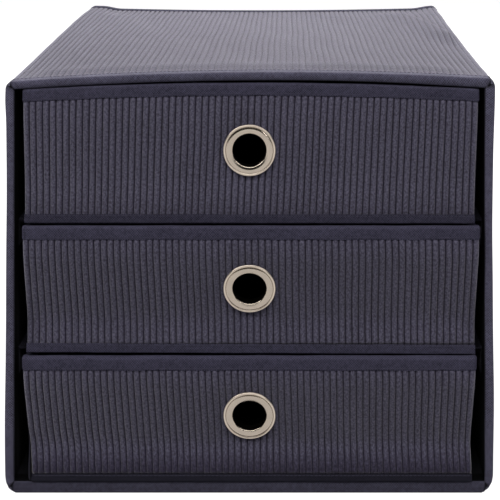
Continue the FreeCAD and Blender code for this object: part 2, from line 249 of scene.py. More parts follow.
class Piece:
    """Gathers the points and faces of one mesh piece, with the cloth coordinates that its finish reads."""

    def __init__(self, name: str) -> None:
        """Start an empty piece.

        Args:
            name: Name of the piece.
        """
        self.name = name
        self.points: list[Points] = []
        self.cloth: list[Points] = []
        self.wale: list[Points] = []
        self.faces: list[Sequence[int]] = []
        self.count = 0

    def add_points(self, points: Points, cloth: Optional[Points] = None, wale: Optional[Points] = None) -> int:
        """Add points.

        Args:
            points: Places, one row each.
            cloth: Distance across and along the cloth at each point, and how faded it is where that is given.
            wale: Height on the wale at each point, from 0 in the groove to 1 on the ridge, times any painted shade.

        Returns:
            Number of the first new point.
        """
        first = self.count
        total = len(points)
        flat = np.zeros((total, 3))
        if cloth is not None:
            flat[:, :cloth.shape[1]] = cloth
        self.points.append(points)
        self.cloth.append(flat)
        self.wale.append(np.ones(total) if wale is None else wale)
        self.count += total
        return first

    def add_shell(self, outer: Points, inner: Points, cloth: Optional[Points] = None,
                  wale: Optional[Points] = None, keep: Optional[Points] = None) -> None:
        """Add a closed sheet between two grids of points.

        Args:
            outer: Grid of the face that shows.
            inner: Grid of the face behind it.
            cloth: Cloth coordinates of the grid.
            wale: Height on the wale over the outer grid, times its painted shade.
            keep: Cells that are there; the others are left open.
        """
        rows, cols = outer.shape[:2]
        size = rows * cols
        marks = None if cloth is None else cloth.reshape(size, 2)
        ridge = None if wale is None else wale.reshape(size)
        first = self.add_points(outer.reshape(size, 3), marks, ridge)
        self.add_points(inner.reshape(size, 3), marks, None if wale is None else np.zeros(size))
        face = first + np.arange(size).reshape(rows, cols)
        back = face + size
        cells = np.ones((rows - 1, cols - 1), dtype=bool) if keep is None else keep
        corners = [(slice(None, -1), slice(None, -1)), (slice(None, -1), slice(1, None)),
                   (slice(1, None), slice(1, None)), (slice(1, None), slice(None, -1))]
        self.faces += np.stack([face[c] for c in corners], -1)[cells].tolist()
        self.faces += np.stack([back[c] for c in reversed(corners)], -1)[cells].tolist()
        ring = np.pad(cells, 1)
        level = ring[:-1, 1:-1] != ring[1:, 1:-1]
        upright = ring[1:-1, :-1] != ring[1:-1, 1:]
        self.faces += np.stack([face[:, :-1], face[:, 1:], back[:, 1:], back[:, :-1]], -1)[level].tolist()
        self.faces += np.stack([face[:-1], face[1:], back[1:], back[:-1]], -1)[upright].tolist()

    def add_sweep(self, loops: Points, cloth: Optional[Points] = None, closed: bool = False,
                  wale: Optional[Points] = None) -> None:
        """Add a solid through a row of closed loops.

        Args:
            loops: One closed loop of points for each step along the path.
            cloth: Cloth coordinates of the same points.
            closed: Whether the last loop joins the first.
            wale: One value for each point: a tape's painted shade, 0 where it is darkest, or the eyelet's bead mark.
        """
        steps, around = loops.shape[:2]
        size = steps * around
        first = self.add_points(loops.reshape(size, 3), None if cloth is None else cloth.reshape(size, -1),
                                None if wale is None else wale.reshape(size))
        near = first + np.arange(size).reshape(steps, around)
        far = np.roll(near, -1, axis=0)
        if not closed:
            self.faces += [near[0, ::-1].tolist(), near[-1].tolist()]
            near, far = near[:-1], far[:-1]
        turned = [np.roll(near, -1, axis=1), np.roll(far, -1, axis=1)]
        self.faces += np.stack([near, turned[0], turned[1], far], -1).reshape(-1, 4).tolist()

    def place(self, body: Body, slot: Slot, finish: bpy.types.Material, nodes: Sequence[str] = (),
              sharp: float = CLOTH_SHARP) -> bpy.types.Object:
        """Make the object, dress it and fix it to its body.

        Args:
            body: Body that carries the piece.
            slot: Material slot of the part.
            finish: Material of the piece.
            nodes: Solids that the piece stands for.
            sharp: Angle in degrees above which an edge stays crisp.

        Returns:
            The new object.
        """
        title = f"{self.name}_{slot.word}" if nodes else self.name
        mesh = bpy.data.meshes.new(title)
        mesh.from_pydata(np.concatenate(self.points).tolist(), [], self.faces)
        cloth = mesh.attributes.new("cloth", "FLOAT_VECTOR", "POINT")
        cloth.data.foreach_set("vector", np.concatenate(self.cloth).ravel())
        wale = mesh.attributes.new("wale", "FLOAT", "POINT")
        wale.data.foreach_set("value", np.concatenate(self.wale))
        work = bmesh.new()
        work.from_mesh(mesh)
        bmesh.ops.remove_doubles(work, verts=work.verts, dist=1e-6)
        loose = [vert for vert in work.verts if not vert.link_faces]
        bmesh.ops.delete(work, geom=loose, context="VERTS")
        bmesh.ops.recalc_face_normals(work, faces=work.faces)
        work.to_mesh(mesh)
        work.free()
        mesh.shade_smooth()
        mesh.set_sharp_from_angle(angle=math.radians(sharp))
        mesh.materials.append(finish)
        piece = bpy.data.objects.new(title, mesh)
        bpy.context.scene.collection.objects.link(piece)
        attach(piece, body.value)
        if nodes:
            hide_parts(*nodes)
        LOG.info("%s: %d faces on %s", title, len(mesh.polygons), body.value)
        return piece


class Signal:
    """A shader value that can be used in Python expressions."""

    def __init__(self, graph: "Graph", socket: Optional[bpy.types.NodeSocket]) -> None:
        """Wrap an output socket."""
        self.graph = graph
        self.socket = socket

    def _math(self, operation: str, first: Any, second: Any) -> "Signal":
        """Add a Math node."""
        return self.graph.add("ShaderNodeMath", {"operation": operation}, {0: first, 1: second})

    def __add__(self, other: Any) -> "Signal":
        """Add a value."""
        return self._math("ADD", self, other)

    def __radd__(self, other: Any) -> "Signal":
        """Add to a value."""
        return self._math("ADD", other, self)

    def __sub__(self, other: Any) -> "Signal":
        """Take a value off."""
        return self._math("SUBTRACT", self, other)

    def __rsub__(self, other: Any) -> "Signal":
        """Take off a value."""
        return self._math("SUBTRACT", other, self)

    def __mul__(self, other: Any) -> "Signal":
        """Multiply by a value."""
        return self._math("MULTIPLY", self, other)

    def __rmul__(self, other: Any) -> "Signal":
        """Multiply a value."""
        return self._math("MULTIPLY", other, self)

    def __pow__(self, other: Any) -> "Signal":
        """Raise to a power."""
        return self._math("POWER", self, other)

    def sine(self) -> "Signal":
        """Return the sine."""
        return self._math("SINE", self, 0.0)

    def clamped(self) -> "Signal":
        """Return the value held between 0 and 1."""
        return self.graph.add("ShaderNodeMath", {"operation": "ADD", "use_clamp": True}, {0: self, 1: 0.0})

    def larger(self, other: Any) -> "Signal":
        """Return the larger of two values."""
        return self._math("MAXIMUM", self, other)


class Graph:
    """The nodes of one material or of the world."""

    def __init__(self, tree: bpy.types.NodeTree) -> None:
        """Start with an empty tree."""
        self.tree = tree
        tree.nodes.clear()

    def add(self, kind: str, settings: Optional[dict[str, Any]] = None,
            sockets: Optional[dict[Union[str, int], Any]] = None, out: Union[str, int] = 0) -> Signal:
        """Add a node.

        Args:
            kind: Type of the node.
            settings: Properties that are set first.
            sockets: Values or links of the node's inputs.
            out: Output that is wanted.

        Returns:
            The chosen output.
        """
        node = self.tree.nodes.new(kind)
        for name, value in (settings or {}).items():
            setattr(node, name, value)
        for name, value in (sockets or {}).items():
            if isinstance(value, Signal):
                self.tree.links.new(value.socket, node.inputs[name])
            else:
                node.inputs[name].default_value = value
        return Signal(self, node.outputs[out] if len(node.outputs) else None)

    def mark(self, name: str, out: str) -> Signal:
        """Return an attribute of the mesh."""
        return self.add("ShaderNodeAttribute", {"attribute_name": name}, None, out)

    def place(self) -> Signal:
        """Return the place in the piece's own frame."""
        return self.add("ShaderNodeTexCoord", None, None, "Object")

    def stretch(self, vector: Signal, scale: Sequence[float]) -> Signal:
        """Return a vector with each part multiplied."""
        return self.add("ShaderNodeVectorMath", {"operation": "MULTIPLY"}, {0: vector, 1: tuple(scale)})

    def parts(self, vector: Signal) -> tuple[Signal, Signal, Signal]:
        """Split a vector.

        Args:
            vector: The vector.

        Returns:
            Its three parts.
        """
        first = self.add("ShaderNodeSeparateXYZ", None, {0: vector}, "X")
        node = first.socket.node
        return first, Signal(self, node.outputs["Y"]), Signal(self, node.outputs["Z"])

    def noise(self, vector: Signal, scale: float, detail: float = 2.0, rough: float = 0.5) -> Signal:
        """Return a noise between 0 and 1.

        Args:
            vector: Place at which the noise is read.
            scale: Spots per metre.
            detail: Number of finer layers.
            rough: Strength of the finer layers.

        Returns:
            The noise.
        """
        sockets = {"Vector": vector, "Scale": scale, "Detail": detail, "Roughness": rough}
        return self.add("ShaderNodeTexNoise", None, sockets)

    def blend(self, factor: Any, first: Any, second: Any) -> Signal:
        """Return a mix of two colours."""
        sockets = {MIX_FACTOR: factor, MIX_FIRST: first, MIX_SECOND: second}
        return self.add("ShaderNodeMix", {"data_type": "RGBA"}, sockets, MIX_RESULT)

    def shade(self, colour: Any, factor: Signal) -> Signal:
        """Multiply a colour by a value.

        Args:
            colour: The colour.
            factor: The value.

        Returns:
            The darker or lighter colour.
        """
        grey = self.add("ShaderNodeCombineColor", None, {0: factor, 1: factor, 2: factor})
        settings = {"data_type": "RGBA", "blend_type": "MULTIPLY"}
        sockets = {MIX_FACTOR: 1.0, MIX_FIRST: colour, MIX_SECOND: grey}
        return self.add("ShaderNodeMix", settings, sockets, MIX_RESULT)

    def bump(self, height: Signal, distance: float, strength: float = 1.0) -> Signal:
        """Return a normal that follows a height.

        Args:
            height: Height between 0 and 1.
            distance: Depth in metres of a height of 1.
            strength: Share of the bump that shows.

        Returns:
            The normal.
        """
        return self.add("ShaderNodeBump", None, {"Height": height, "Distance": distance, "Strength": strength})


def ink(colour: Colour) -> tuple[float, float, float, float]:
    """Return a colour given in screen values as a linear one."""
    parts = [c / 12.92 if c <= 0.04045 else ((c + 0.055) / 1.055) ** 2.4 for c in colour]
    return (parts[0], parts[1], parts[2], 1.0)


@dataclass(frozen=True)
class Finish:
    """A finish of the box.

    Attributes:
        name: Name of the material.
        colour: Main colour in screen values.
        roughness: How dull the surface is.
        metallic: 1 for metal.
        sheen: Strength of the soft sheen of a pile.
        gloss: Strength of the gloss.
    """

    name: str
    colour: Colour
    roughness: float = 0.85
    metallic: float = 0.0
    sheen: float = 0.0
    gloss: float = 0.06

    def pattern(self, graph: Graph) -> dict[str, Any]:
        """Return what varies over the surface, by socket."""
        grain = graph.noise(graph.place(), 900.0, 3.0)
        return {"Base Color": graph.shade(ink(self.colour), 0.8 + 0.4 * grain)}

    def material(self) -> bpy.types.Material:
        """Make the finish.

        Returns:
            The new material.
        """
        made = bpy.data.materials.new(self.name)
        made.use_nodes = True
        graph = Graph(made.node_tree)
        sockets: dict[Union[str, int], Any] = {"Roughness": self.roughness, "Metallic": self.metallic}
        sockets["Specular IOR Level"] = self.gloss
        if self.sheen:
            sockets.update({"Sheen Weight": self.sheen, "Sheen Roughness": 0.45, "Sheen Tint": (0.86, 0.83, 0.92, 1.0)})
        sockets.update(self.pattern(graph))
        surface = graph.add("ShaderNodeBsdfPrincipled", None, sockets)
        graph.add("ShaderNodeOutputMaterial", None, {"Surface": surface})
        return made


@dataclass(frozen=True)
class CordFinish(Finish):
    """Wide-wale corduroy: soft pile on the ridges, dark grooves between them, whose colour is partly painted shade.

    Attributes:
        groove: Colour between the ridges: the bare ground, made darker still as painted shade.
        tufts: Tufts of pile per metre.
        streaks: Streaks along the pile, per metre across.
        patches: Brushed patches per metre.
        relief: Depth of the nap.
    """

    groove: Colour = (0.12, 0.1, 0.165)
    tufts: float = 860.0
    streaks: float = 620.0
    patches: float = 34.0
    relief: float = 0.6 * MM

    def pattern(self, graph: Graph) -> dict[str, Any]:
        """Return the pile's colour and nap.

        Args:
            graph: Nodes of the material.

        Returns:
            What varies over the surface, by socket.
        """
        wale = graph.mark("wale", "Fac")
        cloth = graph.mark("cloth", "Vector")
        nap = graph.noise(graph.stretch(cloth, (1.0, 0.7, 1.0)), self.tufts, rough=0.6)
        streak = graph.noise(graph.stretch(cloth, (1.0, 0.05, 1.0)), self.streaks)
        patch = graph.noise(cloth, self.patches)
        # The last number keeps the mean tone at 1.
        tone = (1.95 * nap + 0.5 * streak + 0.3 * patch - 0.375).larger(0.25)
        edge = (wale + 0.55 * nap - 0.275).clamped()
        # The groove colour is the bare ground, darkened further as painted shade; low wale marks also bring it in as
        # painted shade.
        pile = graph.blend(edge ** 1.5, ink(self.groove), ink(self.colour))
        height = 0.8 * nap + 0.5 * streak
        return {"Base Color": graph.shade(pile, tone), "Normal": graph.bump(height, self.relief, 0.8)}


@dataclass(frozen=True)
class WovenFinish(Finish):
    """Plain woven cloth with threads of one pitch.

    Attributes:
        shadow: Colour of the painted shade on a tape's inner leg, at its creased ends and over tapes shaded as a whole.
        lit_colour: Colour of the painted light on a tape's outer leg where it faces up.
        pitch: Distance from thread to thread.
        relief: Depth of the weave.
        slubs: Thick places of the thread per metre.
        patches: Uneven patches per metre.
        on_cloth: Whether the weave follows the piece's cloth coordinates, or else its place.
    """

    shadow: Colour = (0.02, 0.02, 0.025)
    lit_colour: Colour = (0.45, 0.44, 0.5)
    pitch: float = 1.62 * MM
    relief: float = 0.2 * MM
    slubs: float = 640.0
    patches: float = 45.0
    on_cloth: bool = True

    def pattern(self, graph: Graph) -> dict[str, Any]:
        """Return the threads' colour and relief.

        Args:
            graph: Nodes of the material.

        Returns:
            What varies over the surface, by socket.
        """
        colour: Any = ink(self.colour)
        if self.on_cloth:
            across, along, painted_light = graph.parts(graph.mark("cloth", "Vector"))
            # Painted light on the outer leg of a tape that faces up.
            colour = graph.blend(painted_light, colour, ink(self.lit_colour))
            # Painted shade: where the wale mark is low, the tape blends to its shadow colour.
            colour = graph.blend(graph.mark("wale", "Fac"), ink(self.shadow), colour)
        else:
            x, y, z = graph.parts(graph.place())
            across, along = x + y, z + 0.41 * y
        turn = 2 * math.pi / self.pitch
        weave = (across * turn).sine() * (along * turn).sine()
        where = graph.place()
        slub = graph.noise(where, self.slubs)
        patch = graph.noise(where, self.patches)
        # The last number keeps the mean tone at 1.
        tone = (0.5 * weave + 1.25 * slub + 0.4 * patch + 0.175).larger(0.2)
        height = 0.5 + 0.4 * weave + 0.4 * slub
        return {"Base Color": graph.shade(colour, tone), "Normal": graph.bump(height, self.relief, 0.8)}


@dataclass(frozen=True)
class FeltFinish(Finish):
    """Thin bonded lining with pressed dots.

    Attributes:
        pitch: Distance from dot to dot.
        relief: Depth of the dots.
        fibres: Fibres per metre.
    """

    pitch: float = 2.2 * MM
    relief: float = 0.15 * MM
    fibres: float = 1500.0

    def pattern(self, graph: Graph) -> dict[str, Any]:
        """Return the fibres' colour and the pressed dots.

        Args:
            graph: Nodes of the material.

        Returns:
            What varies over the surface, by socket.
        """
        where = graph.place()
        sockets = {"Vector": where, "Scale": 1.0 / self.pitch, "Randomness": 0.25}
        dots = graph.add("ShaderNodeTexVoronoi", None, sockets, "Distance")
        fibre = graph.noise(where, self.fibres, 3.0)
        tone = 0.68 + 0.36 * fibre + 0.22 * dots
        height = dots + 0.3 * fibre
        return {"Base Color": graph.shade(ink(self.colour), tone), "Normal": graph.bump(height, self.relief, 0.7)}


@dataclass(frozen=True)
class BoardFinish(Finish):
    """Grey board made of pressed paper pulp.

    Attributes:
        specks: Specks of pulp per metre.
        clouds: Darker clouds per metre.
        relief: Depth of the board's tooth.
    """

    specks: float = 520.0
    clouds: float = 25.0
    relief: float = 0.08 * MM

    def pattern(self, graph: Graph) -> dict[str, Any]:
        """Return the pulp's specks and tooth.

        Args:
            graph: Nodes of the material.

        Returns:
            What varies over the surface, by socket.
        """
        where = graph.place()
        speck = graph.noise(where, self.specks, 4.0, 0.7)
        cloud = graph.noise(where, self.clouds)
        tone = 0.72 + 0.3 * speck + 0.24 * cloud
        return {"Base Color": graph.shade(ink(self.colour), tone), "Normal": graph.bump(speck, self.relief, 0.5)}


@dataclass(frozen=True)
class NickelFinish(Finish):
    """Satin nickel with fine handling marks and a duller bead, whose colour is lightened as a painted highlight.

    Attributes:
        gloss: Strength of the gloss.
        clouds: Cloudy spots of the plating per metre.
        scratches: Fine marks per metre.
        relief: Depth of the marks.
    """

    gloss: float = 0.5
    clouds: float = 160.0
    scratches: float = 900.0
    relief: float = 0.01 * MM

    def pattern(self, graph: Graph) -> dict[str, Any]:
        """Return the plating's cloudiness and marks.

        Args:
            graph: Nodes of the material.

        Returns:
            What varies over the surface, by socket.
        """
        where = graph.place()
        cloud = graph.noise(where, self.clouds, 3.0)
        marks = graph.noise(graph.stretch(where, (1.0, 1.0, 6.0)), self.scratches)
        # The bead's mark: a painted highlight in its colour, and more roughness.
        painted_light = 1 - graph.mark("wale", "Fac")
        return {
            "Base Color": graph.shade(ink(self.colour), 0.9 + 0.2 * cloud + 0.4 * painted_light),
            "Roughness": self.roughness - 0.05 + 0.07 * cloud + 0.05 * marks + 0.09 * painted_light,
            "Normal": graph.bump(marks, self.relief, 0.2),
        }


@dataclass(frozen=True)
class Finishes:
    """The materials of the box."""

    cord: bpy.types.Material
    plain: bpy.types.Material
    tape: bpy.types.Material
    rim_tape: bpy.types.Material
    thread: bpy.types.Material
    lining: bpy.types.Material
    board: bpy.types.Material
    nickel: bpy.types.Material

    @classmethod
    def made(cls) -> "Finishes":
        """Make the finishes.

        Returns:
            The finishes of this box.
        """
        return cls(
            cord=CordFinish("corduroy", (0.305, 0.295, 0.355), roughness=0.95, sheen=0.55).material(),
            plain=WovenFinish("plain_cloth", (0.15, 0.145, 0.18), roughness=0.9, sheen=0.05, on_cloth=False).material(),
            tape=WovenFinish("binding_tape", (0.298, 0.289, 0.353)).material(),
            # A darker copy of the binding tape for the drawers' tapes: painted shade for drawers set back under the
            # sleeve.
            rim_tape=WovenFinish("rim_tape", (0.22, 0.212, 0.27)).material(),
            thread=Finish("sewing_thread", (0.225, 0.218, 0.272), roughness=0.6, sheen=0.1).material(),
            lining=FeltFinish("bonded_lining", (0.095, 0.094, 0.107), roughness=0.95).material(),
            board=BoardFinish("grey_board", (0.5, 0.47, 0.43), roughness=0.9).material(),
            nickel=NickelFinish("satin_nickel", (0.64, 0.597, 0.55), roughness=0.19, metallic=1.0).material(),
        )


@dataclass(frozen=True)
class Wale:
    """The ridge of a wide-wale corduroy.

    Attributes:
        pitch: Distance from ridge to ridge.
        depth: Depth of the groove.
        groove: Share of the pitch over which the ridge falls to the groove.
        steps: Places of a ridge's points, as shares of the pitch.
    """

    pitch: float = 4.34 * MM
    depth: float = 1.3 * MM
    groove: float = 0.145
    steps: tuple[float, ...] = (0.0, 0.06, 0.13, 0.22, 0.5, 0.78, 0.87, 0.94)

    def columns(self, width: float) -> tuple[Points, Points]:
        """Spread whole ridges over a width.

        Args:
            width: Width of the cloth.

        Returns:
            Places across the cloth from its middle, and the height of the ridge at each, from 0 to 1.
        """
        count = max(1, round(width / self.pitch))
        turns = np.append((np.arange(count)[:, None] + np.array(self.steps)).ravel(), count)
        part = turns % 1.0
        reach = np.minimum(part, 1 - part)
        ridge = (1 - np.exp(-(reach / self.groove) ** 2)) * (0.88 + 0.12 * np.sin(math.pi * part))
        return (turns / count - 0.5) * width, ridge


@dataclass
class FoldedTape:
    """A tape folded over an edge: an outer leg, a rounded fold and an inner leg.

    Attributes:
        outer: Line of the fold's outer side.
        inner: Line of its inner side.
        crest: Direction in which the fold points.
        leg_out: Length of the outer leg.
        leg_in: Length of the inner leg.
        thick: Thickness of the tape.
        radius: Radius of the fold's corners.
        puff: How far the fold's middle stands out.
        closed: Whether the tape joins its own start.
        phase: Where its uneven waves start.
        inside: Painted shade on the inner leg, from 0 in full painted shade to 1 as bright as the outer leg.
        crease: How far the fold is pressed in at the tape's ends; where it is above 0, the ends also get painted shade.
        fade: Share of painted light on the outer leg.
        tone: Painted shade over the whole tape, 1 for none.
        wave: Length of the waves of the legs' edges.
        waver: Share of the legs' length by which the edges wander.
        pinch: Reach of the crease, and of its painted shade, from the tape's ends.
    """

    outer: Points
    inner: Points
    crest: Points
    leg_out: float
    leg_in: float
    thick: float
    radius: float = 1.4 * MM
    puff: float = 0.2 * MM
    closed: bool = False
    phase: float = 0.0
    inside: float = 1.0
    crease: float = 0.0
    fade: float = 0.0
    tone: float = 1.0
    wave: float = 46.0 * MM
    waver: float = 0.03
    pinch: float = 1.7 * MM

    def half_section(self, share: float, way: float, leg: float) -> tuple[Points, Points]:
        """Return one leg and its half of the fold.

        Args:
            share: Where the leg stands on the fold's width, 0 or 1.
            way: Direction from the leg to the fold's middle, 1 or -1.
            leg: Length of the leg.

        Returns:
            The points of the face that shows and those of the face behind it, from the leg's end up.
        """
        arc = np.linspace(0, math.pi / 2, ARC_STEPS)
        across, rise = np.append(np.zeros(LEG_STEPS), 1 - np.cos(arc)), 1 - np.sin(arc)
        low = -np.linspace(leg, self.radius, LEG_STEPS + 1)[:-1]
        small = self.radius - self.thick
        place = np.full(len(across), share)
        front = np.stack([place, way * self.radius * across, np.append(low, -self.radius * rise)], -1)
        behind = np.stack([place, way * (self.thick + small * across), np.append(low, -self.thick - small * rise)], -1)
        return front, behind

    def section(self) -> Points:
        """Return the fold's loop.

        Returns:
            For each point its share of the fold's width, an added distance across, and a height on the crest.
        """
        out_front, out_behind = self.half_section(0.0, 1.0, self.leg_out)
        in_front, in_behind = self.half_section(1.0, -1.0, self.leg_in)
        top = np.array([[0.5, 0.0, self.puff]])
        under = np.array([[0.5, 0.0, self.puff - self.thick]])
        return np.concatenate([out_front, top, in_front[::-1], in_behind, under, out_behind[::-1]])

    def add_to(self, piece: Piece) -> None:
        """Add the tape to a piece.

        Args:
            piece: Piece that gets the tape.
        """
        crest = np.broadcast_to(self.crest, self.outer.shape)
        width = np.linalg.norm(self.inner - self.outer, axis=1)
        across = unit(self.inner - self.outer)
        section = self.section()
        distance = along_line(self.outer)
        reach = section[:, 0] * width[:, None] + section[:, 1]
        legs = 1 + self.waver * ripple(distance, self.wave, self.phase)
        rise = section[:, 2] * np.where(section[:, 2] < -2 * self.radius, legs[:, None], 1.0)
        ends = np.exp(-(np.minimum(distance, distance[-1] - distance) / self.pinch) ** 2)
        rise = rise - self.crease * ends[:, None] * (section[:, 2] > -self.radius)
        loops = self.outer[:, None] + across[:, None] * reach[..., None] + crest[:, None] * rise[..., None]
        around = along_line(np.column_stack([section[:, 0] * width.mean() + section[:, 1], section[:, 2]]))
        number = np.arange(len(section))
        cloth = np.stack(np.broadcast_arrays(distance[:, None], around, self.fade * np.interp(number, *LIGHT_ON_OUTER_LEG)), -1)
        # Painted shade on the inner leg.
        turned = 1 - (1 - self.inside) * np.interp(number, *SHADE_ON_INNER_LEG, left=0, right=0)
        # Painted shade in the crease at the tape's ends.
        crease_shade = 1 - ends ** 0.45 * (self.crease > 0)
        # The tape's painted shade reaches the finish on the wale mark.
        piece.add_sweep(loops, cloth, self.closed, self.tone * crease_shade[:, None] * turned)

    def outer_seam(self, inset: float) -> Seam:
        """Return the line of stitches on the outer leg, and the way it faces.

        Args:
            inset: Distance of the stitches from the leg's edge.

        Returns:
            The points of the line and the directions out of the cloth.
        """
        crest = np.broadcast_to(self.crest, self.outer.shape)
        return self.outer - crest * (self.leg_out - inset), unit(self.outer - self.inner)

    def web_seam(self, inset: float) -> Seam:
        """Return the line of stitches on the fold near its inner side, and the way it faces.

        Args:
            inset: Distance of the stitches from the fold's inner side.

        Returns:
            The points of the line and the directions out of the cloth.
        """
        crest = np.broadcast_to(self.crest, self.outer.shape)
        return self.inner + unit(self.outer - self.inner) * inset, crest

    def sew(self, body: Body, name: str, finish: bpy.types.Material, thread: bpy.types.Material,
            seams: Sequence[Seam], settle: Callable[[Points], Points] = np.asarray) -> None:
        """Make the tape and its stitching.

        Args:
            body: Body that carries the tape.
            name: Name of the tape and of the solid that it stands for.
            finish: Material of the tape.
            thread: Material of the stitches.
            seams: Lines of stitches, with the way each faces.
            settle: Moves points as the soft box lets them settle.
        """
        tape, stitches = Piece(name), Piece(name + "_stitching")
        self.add_to(tape)
        for line, facing in seams:
            Stitching().add_to(stitches, line, facing)
        for piece in (tape, stitches):
            piece.points = [settle(part) for part in piece.points]
        tape.place(body, Slot.TAPE, finish, [name], TAPE_SHARP)
        stitches.place(body, Slot.TAPE, thread)


@dataclass(frozen=True)
class Stitching:
    """A row of thread stitches.

    Attributes:
        pitch: Distance from stitch to stitch.
        length: Length of a stitch.
        radius: Radius of the thread.
        sides: Number of sides of the thread.
        rings: Rings along a stitch: place as a share of its length, girth and height as shares of the radius.
    """

    pitch: float = 2.7 * MM
    length: float = 2.0 * MM
    radius: float = 0.2 * MM
    sides: int = 6
    rings: tuple[tuple[float, float, float], ...] = (
        (-0.5, 0.5, -0.4), (-0.22, 1.0, 0.5), (0.22, 1.0, 0.5), (0.5, 0.5, -0.4))

    def add_to(self, piece: Piece, line: Points, facing: Points) -> None:
        """Sew along a line.

        Args:
            piece: Piece that gets the stitches.
            line: Points of the line.
            facing: Directions out of the cloth at those points.
        """
        distance = along_line(line)
        middles = np.arange(self.pitch, distance[-1] - self.pitch / 2, self.pitch)
        step = 0.1 * MM
        run = unit(at_distance(line, distance, middles + step) - at_distance(line, distance, middles - step))
        out = unit(at_distance(facing, distance, middles))
        side = np.cross(run, out)
        turn = np.linspace(0, 2 * math.pi, self.sides, endpoint=False)
        spokes = out[:, None] * np.sin(turn)[:, None] + side[:, None] * np.cos(turn)[:, None]
        rings = []
        for share, girth, lift in self.rings:
            middle = at_distance(line, distance, middles) + run * share * self.length + out * lift * self.radius
            first = piece.add_points((middle[:, None] + self.radius * girth * spokes).reshape(-1, 3))
            rings.append(first + np.arange(len(middles) * self.sides).reshape(-1, self.sides))
        piece.faces += rings[0][:, ::-1].tolist() + rings[-1].tolist()
        for near, far in zip(rings, rings[1:]):
            quads = np.stack([near, np.roll(near, -1, axis=1), np.roll(far, -1, axis=1), far], -1)
            piece.faces += quads.reshape(-1, 4).tolist()


